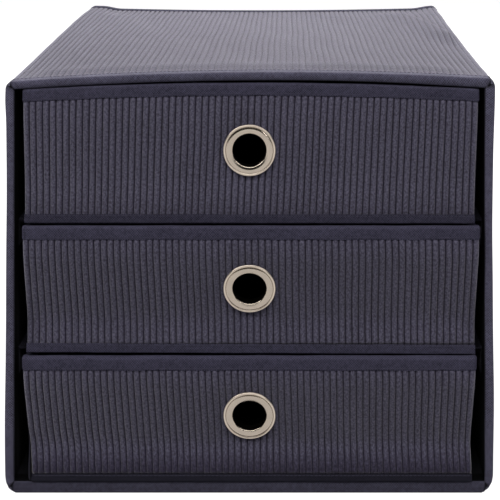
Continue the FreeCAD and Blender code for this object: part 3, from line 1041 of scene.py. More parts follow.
@dataclass
class Sleeve:
    """The fixed outer box: five panels, bound edges, corded seams and two shelves.

    Attributes:
        layers: Thickness of each layer.
        finishes: Materials of the box.
        wale: Ridge of the corduroy.
        crown: Rise of the top's middle at the front.
        sag: Depth of its middle at the rear.
        ear: Rise of its side edges towards the rear.
        tip: Rise of its front edge on the right, and fall on the left.
        bulges: Swellings of the side walls: way (1 for the right wall), height, reach and size in millimetres.
        leg: Width of the binding on the outside.
        stitch_inset: Distance of the stitches from the binding's edge.
        tuck_left: How far the lower left front corner is drawn in.
        tuck_right: How far the lower right one is drawn in.
        tuck_height: Height of the drawn-in corners.
        fold_at: A place on the line of the top's loose fold.
        fold_slope: How far that line moves to the right for each step to the front.
        fold_height: Height of the fold.
        fold_steep: Reach of its right side.
        fold_gentle: Reach of its left side.
    """

    layers: Layers
    finishes: Finishes
    wale: Wale
    crown: float = 5.0 * MM
    sag: float = 2.2 * MM
    ear: float = 3.2 * MM
    tip: float = 1.05 * MM
    bulges: tuple[tuple[float, float, float, float], ...] = (
        (1.0, 268.0, 36.0, 1.5), (1.0, 172.0, 25.0, -0.35), (1.0, 60.0, 35.0, 0.7),
        (-1.0, 258.0, 10.0, 0.6), (-1.0, 200.0, 35.0, -0.42), (-1.0, 40.0, 45.0, 0.8))
    leg: float = 9.0 * MM
    stitch_inset: float = 1.6 * MM
    tuck_left: float = 5.4 * MM
    tuck_right: float = 8.2 * MM
    tuck_height: float = 12.0 * MM
    fold_at: tuple[float, float] = (0.117, 0.118)
    fold_slope: float = 0.27
    fold_height: float = 4.7 * MM
    fold_steep: float = 5.2 * MM
    fold_gentle: float = 15.0 * MM

    def __post_init__(self) -> None:
        """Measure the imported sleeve."""
        lining, cover = Span.of("right_lining"), Span.of("right_cover")
        tape, rear = Span.of("front_binding_right"), Span.of("rear_binding")
        self.inner_x = lining.low[0]
        self.face_x = cover.high[0]
        self.half = tape.high[0]
        self.front, self.rear = cover.low[1], cover.high[1]
        self.edge, self.end = tape.low[1], rear.high[1]
        self.inner_low, self.inner_high = cover.low[2], cover.high[2]
        self.floor = Span.of("bottom_lining").high[2]
        self.height = rear.high[2]
        self.back_face = Span.of("back_lining").low[1]
        self.margin = self.leg - (self.half - self.inner_x)

    def bow(self, x: Points, y: Points) -> Points:
        """Return how far the top stands above its side edges.

        Args:
            x: Places across the top.
            y: Places along the top.

        Returns:
            The rise at each place, below 0 where the top sags.
        """
        part = (np.asarray(y) - self.edge) / (self.end - self.edge)
        middle = self.crown - (self.crown + self.sag) * part
        return middle * (1 - np.clip(np.abs(x) / self.inner_x, 0, 1) ** 2)

    def lift(self, points: Points) -> Points:
        """Raise the side edges of the top towards the rear and tip its front edge.

        Args:
            points: Points of a piece near the top.

        Returns:
            The moved points.
        """
        moved = points.copy()
        x, y, z = points[..., 0], points[..., 1], points[..., 2]
        near_top = ease(z, self.height - 14 * MM, self.height - 3 * MM)
        last = ease(y, 100 * MM, 155 * MM)
        inset = np.where(x > 0, 7 * MM, 0.0)
        wide = ease(np.abs(x), 60 * MM, 155 * MM)
        narrow = ease(np.abs(x) - inset, self.half - 29 * MM, self.half - 12 * MM)
        rise = self.ear * (1 - 0.35 * last) * ease(y, -140 * MM, 120 * MM) * (wide + (narrow - wide) * last)
        tilt = self.tip * x / self.half * (1 - ease(y, self.edge, self.edge + 130 * MM))
        outside = ease(z, self.inner_high + 1 * MM, self.height)
        moved[..., 2] += rise * near_top + tilt * np.where(x > 0, outside, near_top)
        return moved

    def spread(self, points: Points) -> Points:
        """Let the outer faces of the side walls stand out or draw in a little, as soft walls do.

        Args:
            points: Points of a piece on the outside.

        Returns:
            The moved points.
        """
        moved = points.copy()
        x, y, z = points[..., 0], points[..., 1], points[..., 2]
        out = np.zeros_like(z)
        for way, height, reach, size in self.bulges:
            bulge = size * MM * np.exp(-((z / MM - height) / reach) ** 2)
            if height > self.inner_high / MM - 5 and way > 0:
                bulge *= 1 + 0.7 * ease(y, 50 * MM, 110 * MM) + ease(y, 110 * MM, 160 * MM)
            out += np.where(x * way > 0, bulge, 0.0)
        at_side = ease(np.abs(x), self.inner_x - 1 * MM, self.face_x)
        at_top = ease(np.abs(x), self.inner_x - 30 * MM, self.inner_x + 2 * MM)
        high = ease(z, self.inner_high - 1 * MM, self.inner_high + 3 * MM)
        moved[..., 0] += np.sign(x) * out * (at_side + (at_top - at_side) * high)
        return moved

    def settled(self, points: Points) -> Points:
        """Return the points of a piece on the outside as the soft box lets them settle."""
        return self.tucked(self.spread(self.lift(points)))

    def tucked(self, points: Points) -> Points:
        """Draw in the lower front corners, where the tape turns under.

        Args:
            points: Points of a piece near the front.

        Returns:
            The moved points.
        """
        moved = points.copy()
        x, y, z = points[..., 0], points[..., 1], points[..., 2]
        share = ease(np.abs(x), self.inner_x - 4 * MM, self.half) * (1 - ease(y, self.front, self.front + 70 * MM))
        low = 1 - np.sqrt(1 - np.clip(1 - z / self.tuck_height, 0, 0.98) ** 2)
        moved[..., 0] -= np.sign(x) * np.where(x > 0, self.tuck_right, self.tuck_left) * share * low
        return moved

    def cord_panel(self, name: str, width: float, length: Points, surface: Surface,
                   fade: Optional[Spread] = None, tone: Optional[Spread] = None) -> None:
        """Make one corduroy panel.

        Args:
            name: Name of the panel and of the solid that it stands for.
            width: Width across the wales.
            length: Places along the wales.
            surface: Returns points for places across, places along and heights over the panel's face.
            fade: Returns how high the wales stand at each place.
            tone: Returns the painted shade of the pile at each place, 1 for none.
        """
        across, ridge = self.wale.columns(width)
        u, v = np.meshgrid(across, length)
        height = np.broadcast_to(ridge, u.shape)
        stand = self.wale.depth * (1.0 if fade is None else fade(u, v))
        sway = 0.45 * MM * ripple(v, 170 * MM, 0.4 + 9.0 * u) * (1 - (2 * u / width) ** 8)
        outer = surface(u + sway, v, -stand * (1 - height))
        inner = surface(u + sway, v, np.full_like(u, -self.layers.cord))
        piece = Piece(name)
        # Painted shade on the pile, carried on the wale mark.
        pile_shade = 1.0 if tone is None else tone(u, v)
        piece.add_shell(outer, inner, np.stack([u, v], -1), height * pile_shade)
        made = piece.place(Body.SLEEVE, Slot.CORD, self.finishes.cord, [name], CORD_SHARP)

    def off_fold(self, u: Points, v: Points) -> Points:
        """Return the distance of places on the top from the line of its loose fold, above 0 to the right."""
        return u - self.fold_at[0] - self.fold_slope * (self.fold_at[1] - v)

    def fold_share(self, u: Points, v: Points) -> Points:
        """Return how much of the loose fold there is at places on the top, from 0 to 1."""
        along = ease(v, -50 * MM, 0.0) * (1 - ease(v, 80 * MM, 145 * MM))
        return along * (1 - ease(u, self.inner_x - 4 * MM, self.inner_x))

    def top_cloth(self, u: Points, v: Points, h: Points) -> Points:
        """Return the top's points: bowed, swollen behind the front edge, slack, and with the loose fold.

        Args:
            u: Places across.
            v: Places along.
            h: Heights over the panel's face.

        Returns:
            The points.
        """
        off = self.off_fold(u, v)
        fold = self.fold_height * np.exp(-(off / np.where(off > 0, self.fold_steep, self.fold_gentle)) ** 2)
        fold *= self.fold_share(u, v)
        slack = 0.5 * MM * ripple(u + 0.5 * v, 130 * MM, 1.3) * (1 - ease(np.abs(u), 0.12, 0.15))
        swell = ease(v, self.front + 8 * MM, self.front + 27 * MM) * (1 - ease(v, -50 * MM, 130 * MM))
        swell = 2.0 * MM * swell * (1 - ease(np.abs(u), 0.13, 0.153))
        face_z = self.height - self.layers.tape
        z = face_z + self.bow(u, v) + swell + 0.85 * h + fold + slack * ease(-np.abs(v), -0.15, -0.11)
        return self.settled(np.stack([u, v, z], -1))

    def top_nap(self, u: Points, v: Points) -> Points:
        """Return how high the top's wales stand, which are pressed flat near the front edge."""
        return 0.35 + 0.65 * ease(v, self.front + 8 * MM, self.front + 42 * MM)

    def top_shade(self, u: Points, v: Points) -> Points:
        """Return the painted shade on the top's pile: darker towards the front and beyond the loose fold.

        Args:
            u: Places across.
            v: Places along.

        Returns:
            The tone at each place.
        """
        # Painted shade in a band beyond the loose fold, and darker towards the front.
        shaded = np.exp(-((self.off_fold(u, v) - 7 * MM) / (5 * MM)) ** 2)
        shaded *= ease(v, -70 * MM, -10 * MM) * (1 - ease(v, 110 * MM, 150 * MM))
        return (1 - 0.31 * (1 - ease(v, self.front, 90 * MM))) * (1 - 0.85 * shaded)

    def bottom_cloth(self, u: Points, v: Points, h: Points) -> Points:
        """Return the bottom's points, which lie flat."""
        return np.stack([u, v, self.layers.tape - h], -1)

    def side_cloth(self, way: float, u: Points, v: Points, h: Points) -> Points:
        """Return the points of a side, which swells a little and stays outside its board.

        Args:
            way: 1 for the right side, -1 for the left one.
            u: Places along the depth.
            v: Places up the side.
            h: Heights over the panel's face.

        Returns:
            The points.
        """
        belly = 0.8 * MM * np.sin(math.pi * (v - self.inner_low) / (self.inner_high - self.inner_low))
        swell = belly * ripple(u, 260 * MM, 0.8 + way) * (1 - ease(np.abs(u), 0.12, 0.155))
        points = self.settled(np.stack([way * (self.face_x + h + np.maximum(swell, 0)), u, v], -1))
        board = self.face_x - self.layers.cord + 0.05 * MM
        points[..., 0] = way * np.maximum(way * points[..., 0], board)
        return points

    def build_covers(self) -> None:
        """Make the corduroy covers and the plain back."""
        width, depth = 2 * self.inner_x, np.linspace(self.front, self.rear, 81)
        self.cord_panel("top_cover", width, depth, self.top_cloth, self.top_nap, self.top_shade)
        self.cord_panel("bottom_cover", width, depth[::2], self.bottom_cloth)
        upright = np.linspace(self.inner_low, self.inner_high, 56)
        for name, way in (("right_cover", 1.0), ("left_cover", -1.0)):
            self.cord_panel(name, self.rear - self.front, upright, partial(self.side_cloth, way))
        self.build_back()

    def build_back(self) -> None:
        """Make the plain cloth of the back."""
        u, v = np.meshgrid(np.linspace(-self.inner_x, self.inner_x, 40), np.linspace(0, 1, 36))
        z = self.floor + v * (self.inner_high + self.bow(u, np.full_like(u, self.rear)) - self.floor)
        calm = (1 - (u / self.inner_x) ** 4) * np.sin(math.pi * v)
        outer = np.stack([u, self.rear + 0.3 * MM * ripple(u + 0.7 * z, 140 * MM, 0.3) * calm, z], -1)
        inner = np.stack([u, np.full_like(u, self.rear - self.layers.plain), z], -1)
        piece = Piece("back_cover")
        piece.add_shell(outer, inner, np.stack([u, z], -1))
        made = piece.place(Body.SLEEVE, Slot.PLAIN, self.finishes.plain, ["back_cover"])

    def build_linings(self) -> None:
        """Make the thin linings on the inner faces."""
        thick = self.layers.lining
        lines = np.linspace(0, 1, 34)
        across = (2 * lines - 1) * self.inner_x
        depth = self.front + lines * (self.rear - self.front)
        u, v = np.meshgrid(across, depth)
        ceiling = self.inner_high + self.bow(u, v)
        self.lining_panel("top_lining", np.stack([u, v, ceiling], -1), np.stack([u, v, ceiling + thick], -1))
        self.lining_panel("bottom_lining", np.stack([u, v, np.full_like(u, self.floor)], -1),
                          np.stack([u, v, np.full_like(u, self.floor - thick)], -1))
        y, z = np.meshgrid(depth, self.inner_low + lines * (self.inner_high - self.inner_low))
        for name, way in (("right_lining", 1.0), ("left_lining", -1.0)):
            near = way * (self.inner_x - 0.15 * MM * (1 + ripple(y + z, 90 * MM, way)))
            self.lining_panel(name, np.stack([near, y, z], -1),
                              np.stack([np.full_like(y, way * (self.inner_x + thick)), y, z], -1))
        x, z = np.meshgrid(across, lines)
        z = self.floor + z * (self.inner_high + self.bow(x, np.full_like(x, self.rear)) - self.floor)
        near = self.back_face - 0.15 * MM * (1 + ripple(x + z, 90 * MM, 2.2))
        self.lining_panel("back_lining", np.stack([x, near, z], -1),
                          np.stack([x, np.full_like(x, self.back_face + thick), z], -1))

    def lining_panel(self, name: str, outer: Points, inner: Points) -> None:
        """Make one lining.

        Args:
            name: Name of the lining and of its solid.
            outer: Grid of the face that shows.
            inner: Grid of the face behind it.
        """
        piece = Piece(name)
        piece.add_shell(outer, inner)
        piece.place(Body.SLEEVE, Slot.LINING, self.finishes.lining, [name])

    def edge_lines(self, edge: Edge, y: float, inset: float, floor: float) -> tuple[Points, Points]:
        """Return the outer and inner lines of a tape on one edge of an open end.

        Args:
            edge: Which edge.
            y: Depth of the end.
            inset: Distance of the tape's inner line from the inner faces.
            floor: Height of the inner face at the bottom.

        Returns:
            The two lines, which turn half-way round the corners.
        """
        wall = self.half - self.inner_x
        turn = np.linspace(0, math.pi / 4, CORNER_STEPS)
        ix, top = self.inner_x, self.inner_high
        if edge in (Edge.LEFT, Edge.RIGHT):
            run = np.linspace(floor + inset, top - inset, UPRIGHT_STEPS)
            side = ix + wall * np.cos(turn)
            out_x = np.concatenate([side[::-1], np.full_like(run, self.half), side])
            out_z = np.concatenate([floor * (1 - np.sin(turn[::-1])), run, top + wall * np.sin(turn)])
            in_x, in_z = np.full_like(out_x, ix - inset), np.pad(run, CORNER_STEPS, mode="edge")
            way = 1.0 if edge is Edge.RIGHT else -1.0
            out_x, in_x = way * out_x, way * in_x
        else:
            run = np.linspace(-(ix - inset), ix - inset, LEVEL_STEPS)
            side = ix + wall * np.sin(turn)
            out_x, in_x = np.concatenate([-side[::-1], run, side]), np.pad(run, CORNER_STEPS, mode="edge")
            if edge is Edge.TOP:
                bow = self.bow(run, np.full_like(run, y))
                ends = top + wall * np.cos(turn)
                out_z = np.concatenate([ends[::-1], self.height + bow, ends])
                in_z = top - inset + np.pad(bow, CORNER_STEPS)
            else:
                ends = floor * (1 - np.cos(turn))
                out_z = np.concatenate([ends[::-1], np.zeros_like(run), ends])
                in_z = np.full_like(out_x, floor + inset)
        depth = np.full(len(out_x), y)
        return np.stack([out_x, depth, out_z], -1), np.stack([in_x, depth, in_z], -1)

    def build_front_tapes(self) -> None:
        """Make the folded tapes round the open front, and their stitching."""
        for number, edge in enumerate(Edge):
            outer, inner = self.edge_lines(edge, self.edge, self.layers.tape, self.floor)
            tape = FoldedTape(outer, inner, np.array([0.0, -1.0, 0.0]), self.leg, self.leg, self.layers.tape,
                              radius=(0.8 if edge is Edge.BOTTOM else 1.6) * MM, puff=0.25 * MM,
                              # The inner legs get full painted shade, and the creased ends get painted shade as well.
                              phase=1.7 * number, inside=0.0, crease=0.6 * MM,
                              # Painted light on the top tape's upward outer leg.
                              fade=0.8 if edge is Edge.TOP else 0.0,
                              # Painted shade over the top and bottom tapes, which are darker than the side ones.
                              tone={Edge.TOP: 0.83, Edge.BOTTOM: 0.66}.get(edge, 1.0))
            self.sew_tape(tape, "front_binding_" + edge.value, [tape.outer_seam(self.stitch_inset)])

    def sew_tape(self, tape: FoldedTape, name: str, seams: Sequence[Seam]) -> None:
        """Make one of the sleeve's tapes and its stitching."""
        tape.sew(Body.SLEEVE, name, self.finishes.tape, self.finishes.thread, seams, self.settled)

    def build_rear_tapes(self) -> None:
        """Make the tape round the rear edge: an arch over the sides and the top, and a strip along the bottom."""
        lines = {edge: self.edge_lines(edge, self.end, self.margin, self.inner_low) for edge in Edge}
        left, right = lines[Edge.LEFT], lines[Edge.RIGHT]
        arch = [np.concatenate([left[k], lines[Edge.TOP][k], right[k][::-1]]) for k in (0, 1)]
        for name, pair in (("rear_binding", arch), ("rear_binding_bottom", lines[Edge.BOTTOM])):
            tape = FoldedTape(pair[0], pair[1], np.array([0.0, 1.0, 0.0]), self.leg, 1.5 * self.layers.tape,
                              self.layers.tape, radius=0.7 * MM, puff=0.05 * MM, phase=len(name))
            seams = [tape.outer_seam(self.stitch_inset), tape.web_seam(self.stitch_inset)]
            self.sew_tape(tape, name, seams)

    def build_piping(self) -> None:
        """Make the corded seams along the four edges that run from front to back."""
        piece = Piece("edge_piping")
        y = np.linspace(self.front, self.rear, 90)
        turn = np.linspace(0, math.pi / 2, 11)
        radius = self.face_x - self.inner_x
        swell = radius * (1 + 0.07 * np.sin(2 * turn)) - 0.25 * MM * np.cos(2 * turn) ** 8
        for way in (1.0, -1.0):
            for z, up in ((self.inner_high, 1.0), (self.inner_low, -1.0)):
                wander = 0.06 * MM * ripple(y, 60 * MM, way + 2 * up)
                x_loop = np.append(np.cos(turn) * swell, 0.0)
                z_loop = np.append(np.sin(turn) * swell, 0.0)
                loops = np.stack(np.broadcast_arrays(
                    way * (self.inner_x + x_loop + wander[:, None] * (x_loop > 0)), y[:, None],
                    z + up * (z_loop + wander[:, None] * (z_loop > 0))), -1)
                cloth = np.stack(np.broadcast_arrays(y[:, None], np.append(turn, 0.0) * radius), -1)
                piece.add_sweep(self.settled(loops), cloth)
        piece.place(Body.SLEEVE, Slot.CORD, self.finishes.cord, ["edge_piping"], TAPE_SHARP)

    def shelf_loop(self, cover: Span, under: float, inset: float) -> Points:
        """Return the outline of a shelf's sleeve, from its rear over the rounded nose and back.

        Args:
            cover: Box of the shelf's cover.
            under: Height of the sleeve's underside.
            inset: Distance inside the outer face.

        Returns:
            Depths and heights of the outline.
        """
        top, front = cover.high[2], cover.low[1]
        half = (top - under) / 2
        thick = half - inset
        depth = np.linspace(cover.high[1], front + 1.2 * MM, 16)
        nose = np.linspace(0, math.pi, 9)[1:-1]
        upper = np.stack([depth, np.full_like(depth, top - inset)], -1)
        tip = np.stack([front + half - thick * np.sin(nose), under + half + thick * np.cos(nose)], -1)
        lower = np.stack([depth[::-1], np.full_like(depth, under + inset)], -1)
        return np.concatenate([upper, tip, lower])

    def build_shelves(self) -> None:
        """Make the cloth sleeves of the two shelves, with their sewn side flaps."""
        for name in ("lower_shelf", "upper_shelf"):
            cover, board = Span.of(name + "_cover"), Span.of(name + "_board")
            cloth = board.low[1] - cover.low[1]
            top, under = cover.high[2], board.low[2] - cloth
            x = np.linspace(board.low[0], board.high[0], 60)
            ring = np.concatenate([self.shelf_loop(cover, under, 0.0), self.shelf_loop(cover, under, cloth)[::-1]])
            loops = np.stack(np.broadcast_arrays(x[:, None], ring[:, 0], ring[:, 1]), -1)
            marks = np.stack(np.broadcast_arrays(x[:, None], ring[:, 0]), -1)
            piece = Piece(name + "_cover")
            piece.add_sweep(loops, marks)
            y, z = np.meshgrid(np.linspace(cover.low[1], cover.high[1], 40), np.linspace(cover.low[2], top, 8))
            for way in (1.0, -1.0):
                slack = 0.25 * MM * (1 + ripple(y, 50 * MM, way)) * (1 - ease(z, cover.low[2], top - 3 * MM))
                near = np.stack([way * (self.inner_x - cloth - slack), y, z], -1)
                far = np.stack([np.full_like(y, way * self.inner_x), y, z], -1)
                piece.add_shell(near, far, np.stack([y, z], -1))
            piece.place(Body.SLEEVE, Slot.PLAIN, self.finishes.plain, [name + "_cover"])

    def build(self) -> None:
        """Make every piece of the sleeve."""
        self.build_covers()
        self.build_linings()
        self.build_front_tapes()
        self.build_rear_tapes()
        self.build_piping()
        self.build_shelves()


@dataclass
class Drawer:
    """One soft drawer: bellied corduroy front, cloth bag, lining, bound rim, hem and eyelet.

    Attributes:
        body: Body that carries the drawer.
        layers: Thickness of each layer.
        finishes: Materials of the box.
        wale: Ridge of the corduroy.
        lean: Lean of the front in degrees.
        proud: How far the rim stands in front of the sleeve.
        crown: Rise of the rim's middle.
        taper: How much narrower each side is at the floor.
        rise: How far the leaning stretch is shifted up.
        slant: How far the wales turn from floor to rim.
        hang: How late the right-hand wales give up that turn, as a power.
        push: How far the right side swells out at the floor and at the rim.
        flare: How far the hem comes forward.
        lower_shade: Painted shade at the front's lower edge and on the hem.
        front_shade: Painted shade over the whole front, 1 for none.
        nip: How far the lower left and right corners are drawn in.
        spring: Added rise of the rim's middle.
        tip: Rise of the rim on the right, and fall on the left.
        hem_up: Rise of the hem at its left and right ends.
        soft_edge: Radius of the front's rounded side edges.
        land: Length of the leaning flat stretch.
        bend: Radius of the bends above and below it.
        turn_back: Share of the lean by which the edges turn back.
        rim_leg: Width of the rim's tape on the outside.
        hem_leg: Width of the hem.
        lip_run: Depth over which the rim falls to the sides.
        cover_hole: Radius of the hole in the cover, under the eyelet.
        lining_hole: Radius of the hole in the lining.
        bag_corner: Radius of the bag's lower corners.
        lining_corner: Radius of the lining's lower corners.
    """

    body: Body
    layers: Layers
    finishes: Finishes
    wale: Wale
    lean: float
    proud: float
    crown: float
    taper: float
    rise: float
    slant: float = 0.0
    hang: float = 2.0
    push: tuple[float, float] = (0.0, 0.0)
    flare: float = 0.0
    lower_shade: float = 0.0
    front_shade: float = 1.0
    nip: tuple[float, float] = (0.0, 0.0)
    spring: float = 0.0
    tip: float = 0.0
    hem_up: tuple[float, float] = (0.0, 0.0)
    soft_edge: float = 2.6 * MM
    land: float = 36.0 * MM
    bend: float = 40.0 * MM
    turn_back: float = 0.35
    rim_leg: float = 8.0 * MM
    hem_leg: float = 6.0 * MM
    lip_run: float = 7.0 * MM
    cover_hole: float = 13.4 * MM
    lining_hole: float = 14.5 * MM
    bag_corner: float = 1.6 * MM
    lining_corner: float = 6.0 * MM

    def __post_init__(self) -> None:
        """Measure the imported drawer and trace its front."""
        rim, hem, bag = self.span("rim_binding"), self.span("front_hem"), self.span("bag")
        self.floor = hem.low[2]
        self.head = rim.high[2] - self.crown
        self.side_top = self.span("back_board").high[2] + self.layers.tape
        self.half = rim.high[0] - self.layers.tape
        self.rear = bag.high[1]
        self.front_wall = self.layers.cord + self.layers.board + self.layers.lining
        self.side_wall = self.layers.plain + self.layers.board + self.layers.lining
        self.head_y = Span.of("left_cover").low[1] - self.proud
        self.trace_front()

    def span(self, piece: str) -> Span:
        """Return the box of one of the drawer's solids."""
        return Span.of(f"{self.body.value}_{piece}")

    def trace_front(self) -> None:
        """Trace the front's line from the floor up: two edges that turn back, two bends and a leaning flat stretch."""
        lean = math.radians(self.lean)
        back = self.turn_back * lean
        bends = self.bend * (lean + back)
        rise = 2 * self.bend * (math.sin(lean) + math.sin(back)) + self.land * math.cos(lean)
        ends = (self.head - self.floor - rise) / 2
        low, high = (ends + self.rise) / math.cos(back), (ends - self.rise) / math.cos(back)
        marks = np.cumsum([0.0, low, bends, self.land, bends, high])
        steps = np.linspace(0, marks[-1], 1201)
        tilt = np.interp(steps, marks, [-back, -back, lean, lean, -back, -back])
        middle = (tilt[1:] + tilt[:-1]) / 2
        gap = steps[1] - steps[0]
        z = self.floor + np.append(0.0, np.cumsum(np.cos(middle)) * gap)
        y = np.append(0.0, np.cumsum(-np.sin(middle)) * gap)
        self.line_y = y + self.head_y - y[-1] - self.flare * (1 - ease(z, self.floor + 3 * MM, self.floor + 27 * MM))
        self.line_z, self.line_tilt = z, tilt
        centre = (marks[2] + marks[3]) / 2
        self.eye = np.array([0.0, np.interp(centre, steps, self.line_y), np.interp(centre, steps, z)])

    def front_at(self, z: Points) -> Points:
        """Return the depth of the front's face at a height."""
        return np.interp(z, self.line_z, self.line_y)

    def half_at(self, z: Points) -> Points:
        """Return half the drawer's width at a height."""
        return self.half - self.taper * (self.head - np.asarray(z)) / (self.head - self.floor)

    def aside(self, part: Points, level: Points, y: Points) -> Points:
        """Return how far the soft right-hand side swells out near the front.

        Args:
            part: Share of the half width, from -1 to 1.
            level: Heights.
            y: Depths.

        Returns:
            The shift to the right at each place.
        """
        share = np.clip((np.asarray(level) - self.floor) / (self.head - self.floor), 0, 1)
        reach = self.push[0] + (self.push[1] - self.push[0]) * share
        return reach * np.clip(part, 0, 1) * (1 - ease(y, self.head_y + 8 * MM, self.head_y + 160 * MM))

    def nipped(self, part: Points, level: Points) -> Points:
        """Return how far the front's lower corners are drawn in, by the share of the half width and the height."""
        return np.where(part > 0, self.nip[1], self.nip[0]) * (1 - ease(level, self.floor, self.floor + 34 * MM))

    def arch(self, part: Points) -> Points:
        """Return the rise of the front's rim for a share of the half width."""
        return (self.crown + self.spring) * (1 - np.asarray(part) ** 2) + self.tip * np.asarray(part)

    def rim_at(self, y: Points) -> Points:
        """Return the height of the side rim at a depth."""
        start = self.head_y + self.front_wall + self.layers.tape
        return self.head + (self.side_top - self.head) * np.clip((np.asarray(y) - start) / self.lip_run, 0, 1)

    def named(self, piece: str) -> str:
        """Return the full name of one of the drawer's pieces."""
        return f"{self.body.value}_{piece}"

    def on_face(self, part: Points, level: Points, height: Points) -> Points:
        """Return points on the front.

        Args:
            part: Share of the half width, from -1 to 1.
            level: Heights.
            height: Distance out of the front's face.

        Returns:
            The points.
        """
        tilt = np.interp(level, self.line_z, self.line_tilt)
        x = part * (self.half_at(level) - self.nipped(part, level)) + self.aside(part, level, self.head_y)
        near = np.clip(1 - (1 - np.abs(part)) * self.half / self.soft_edge, 0, 1)
        height = height - self.soft_edge * (1 - np.sqrt(1 - near ** 2))
        y = self.front_at(level) - np.cos(tilt) * height
        z = level - np.sin(tilt) * height
        return np.stack([x, y, z], -1)

    def build_front(self) -> None:
        """Make the corduroy front."""
        across, ridge = self.wale.columns(2 * self.half)
        place = across / self.half
        hem_line = self.floor + self.hem_leg
        rim_line = self.head - self.rim_leg + self.arch(place)
        top_line = self.head - self.layers.tape + self.arch(place)
        spread = (1 - np.cos(np.linspace(0, math.pi, 46))) / 2
        level = np.concatenate([
            np.linspace(self.floor + self.layers.tape, hem_line, 5)[:-1, None] + 0 * place,
            hem_line + spread[:, None] * (rim_line - hem_line),
            rim_line + np.linspace(0, 1, 5)[1:, None] * (top_line - rim_line)])
        part = np.broadcast_to(place, level.shape)
        share = (level - self.floor) / (self.head - self.floor)
        wander = self.slant * (0.5 - share) + 0.22 * MM * ripple(level, 120 * MM, self.lean + 16.0 * across)
        sway = part + wander * (1 - np.abs(part) ** np.where(part > 0, self.hang, 2.0)) / self.half
        eye = np.hypot(part * self.half, level - self.eye[2])
        swell = 0.5 * MM * ripple(part * self.half + 0.4 * level, 150 * MM, 2.0 + self.lean)
        swell *= np.sin(math.pi * share) * (1 - part ** 4) * ease(eye, 17 * MM, 40 * MM)
        inside = np.minimum(level - hem_line, rim_line - level)
        proud = np.interp(inside / MM, (-0.6, 0.0, 0.4, 1.1, 2.4), (-0.7, -0.5, 0.2, 0.55, 0.7)) * MM
        proud *= np.where(inside > 0, ease(eye, 19 * MM, 27 * MM), 1.0)
        height = np.broadcast_to(ridge, part.shape)
        stand = self.wale.depth * np.interp(inside, np.array([-0.6, 2.4]) * MM, [0.4, 1.0])
        outer = self.on_face(sway, level, swell + proud - stand * (1 - height))
        inner = self.on_face(sway, level, np.full_like(level, -self.layers.cord))
        mid_x = (outer[:-1, :-1, 0] + outer[1:, 1:, 0]) / 2
        mid_z = (level[:-1, :-1] + level[1:, 1:]) / 2
        open_eye = np.hypot(mid_x, mid_z - self.eye[2]) < self.cover_hole
        piece = Piece(self.named("front_cover"))
        cloth = np.stack([part * self.half, level], -1)
        # Painted shade over the front, and more of it near the hem on the lower half.
        pile_shade = self.front_shade - self.lower_shade * (1 - ease(inside, 0.0, 16 * MM)) * (share < 0.5)
        piece.add_shell(outer, inner, cloth, height * pile_shade, ~open_eye)
        made = piece.place(self.body, Slot.CORD, self.finishes.cord, [self.named("front_cover")], CORD_SHARP)
        self.head - self.floor

    def trough(self, piece: Piece, inset: float, depth: float, thick: float, belly: float, corner: float,
               loose: float) -> None:
        """Add the two sides and the floor of a soft tub as one folded sheet.

        Args:
            piece: Piece that gets the sheet.
            inset: Distance of the sheet's outer face from the drawer's sides, floor and rear.
            depth: Distance of its front edge behind the front's face.
            thick: Thickness of the sheet.
            belly: How far the sides swell.
            corner: Radius between the sides and the floor.
            loose: Share of the front's swell to the right that the sheet follows.
        """
        grids = []
        stations = np.linspace(0, 1, 40)
        for skin in (inset, inset + thick):
            bend = corner - (skin - inset)
            floor = self.floor + min(inset, self.layers.plain) + (skin - inset)
            half = self.half_at(floor) - skin
            turn = np.linspace(0, math.pi / 2, 6)[1:]
            flat = np.linspace(-(half - bend), half - bend, 24)[1:-1]
            rows = []
            for station in stations:
                rim_y = self.head_y + depth + (self.rear - self.head_y - depth) * station
                wall_z = np.linspace(self.rim_at(rim_y) - self.layers.tape, floor + bend, 12)
                swell = belly * np.sin(math.pi * np.linspace(0, 1, 12)) * math.sin(math.pi * station) ** 0.5
                wall_x = self.half_at(wall_z) - skin + swell
                wall_push = loose * self.aside(1.0, wall_z, rim_y)
                low_x = half - bend + bend * np.cos(turn)
                low_z = floor + bend - bend * np.sin(turn)
                low_push = loose * self.aside(1.0, low_z, rim_y) * np.linspace(1, 0, len(low_x))
                x = np.concatenate([-wall_x, -low_x, flat, (low_x + low_push)[::-1], (wall_x + wall_push)[::-1]])
                z = np.concatenate([wall_z, low_z, np.full(len(flat), floor), low_z[::-1], wall_z[::-1]])
                front = self.front_at(z) + depth
                rows.append(np.stack([x, front + (self.rear - skin - front) * station, z], -1))
            grids.append(np.array(rows))
        piece.add_shell(grids[0], grids[1])

    def end_panel(self, piece: Piece, inset: float, thick: float) -> None:
        """Add the rear wall of a soft tub.

        Args:
            piece: Piece that gets the wall.
            inset: Distance of its outer face from the drawer's sides and rear.
            thick: Thickness of the wall.
        """
        part, share = np.meshgrid(np.linspace(-1, 1, 40), np.linspace(0, 1, 14))
        low = self.floor + min(inset, self.layers.plain) + thick
        z = low + share * (self.side_top - self.layers.tape - low)
        x = part * (self.half_at(z) - inset - thick)
        slack = 0.4 * MM * ripple(x + z, 120 * MM, 0.6) * np.sin(math.pi * share) * (1 - part ** 4)
        outer = np.stack([x, self.rear - inset + slack * 0.5, z], -1)
        inner = np.stack([x, np.full_like(x, self.rear - inset - thick), z], -1)
        piece.add_shell(outer, inner)

    def build_bag(self) -> None:
        """Make the plain cloth bag: sides, floor and rear."""
        piece = Piece(self.named("bag"))
        self.trough(piece, 0.0, self.layers.cord, self.layers.plain, 0.9 * MM, self.bag_corner, 1.0)
        self.end_panel(piece, 0.0, self.layers.plain)
        piece.place(self.body, Slot.PLAIN, self.finishes.plain, [self.named("bag")])

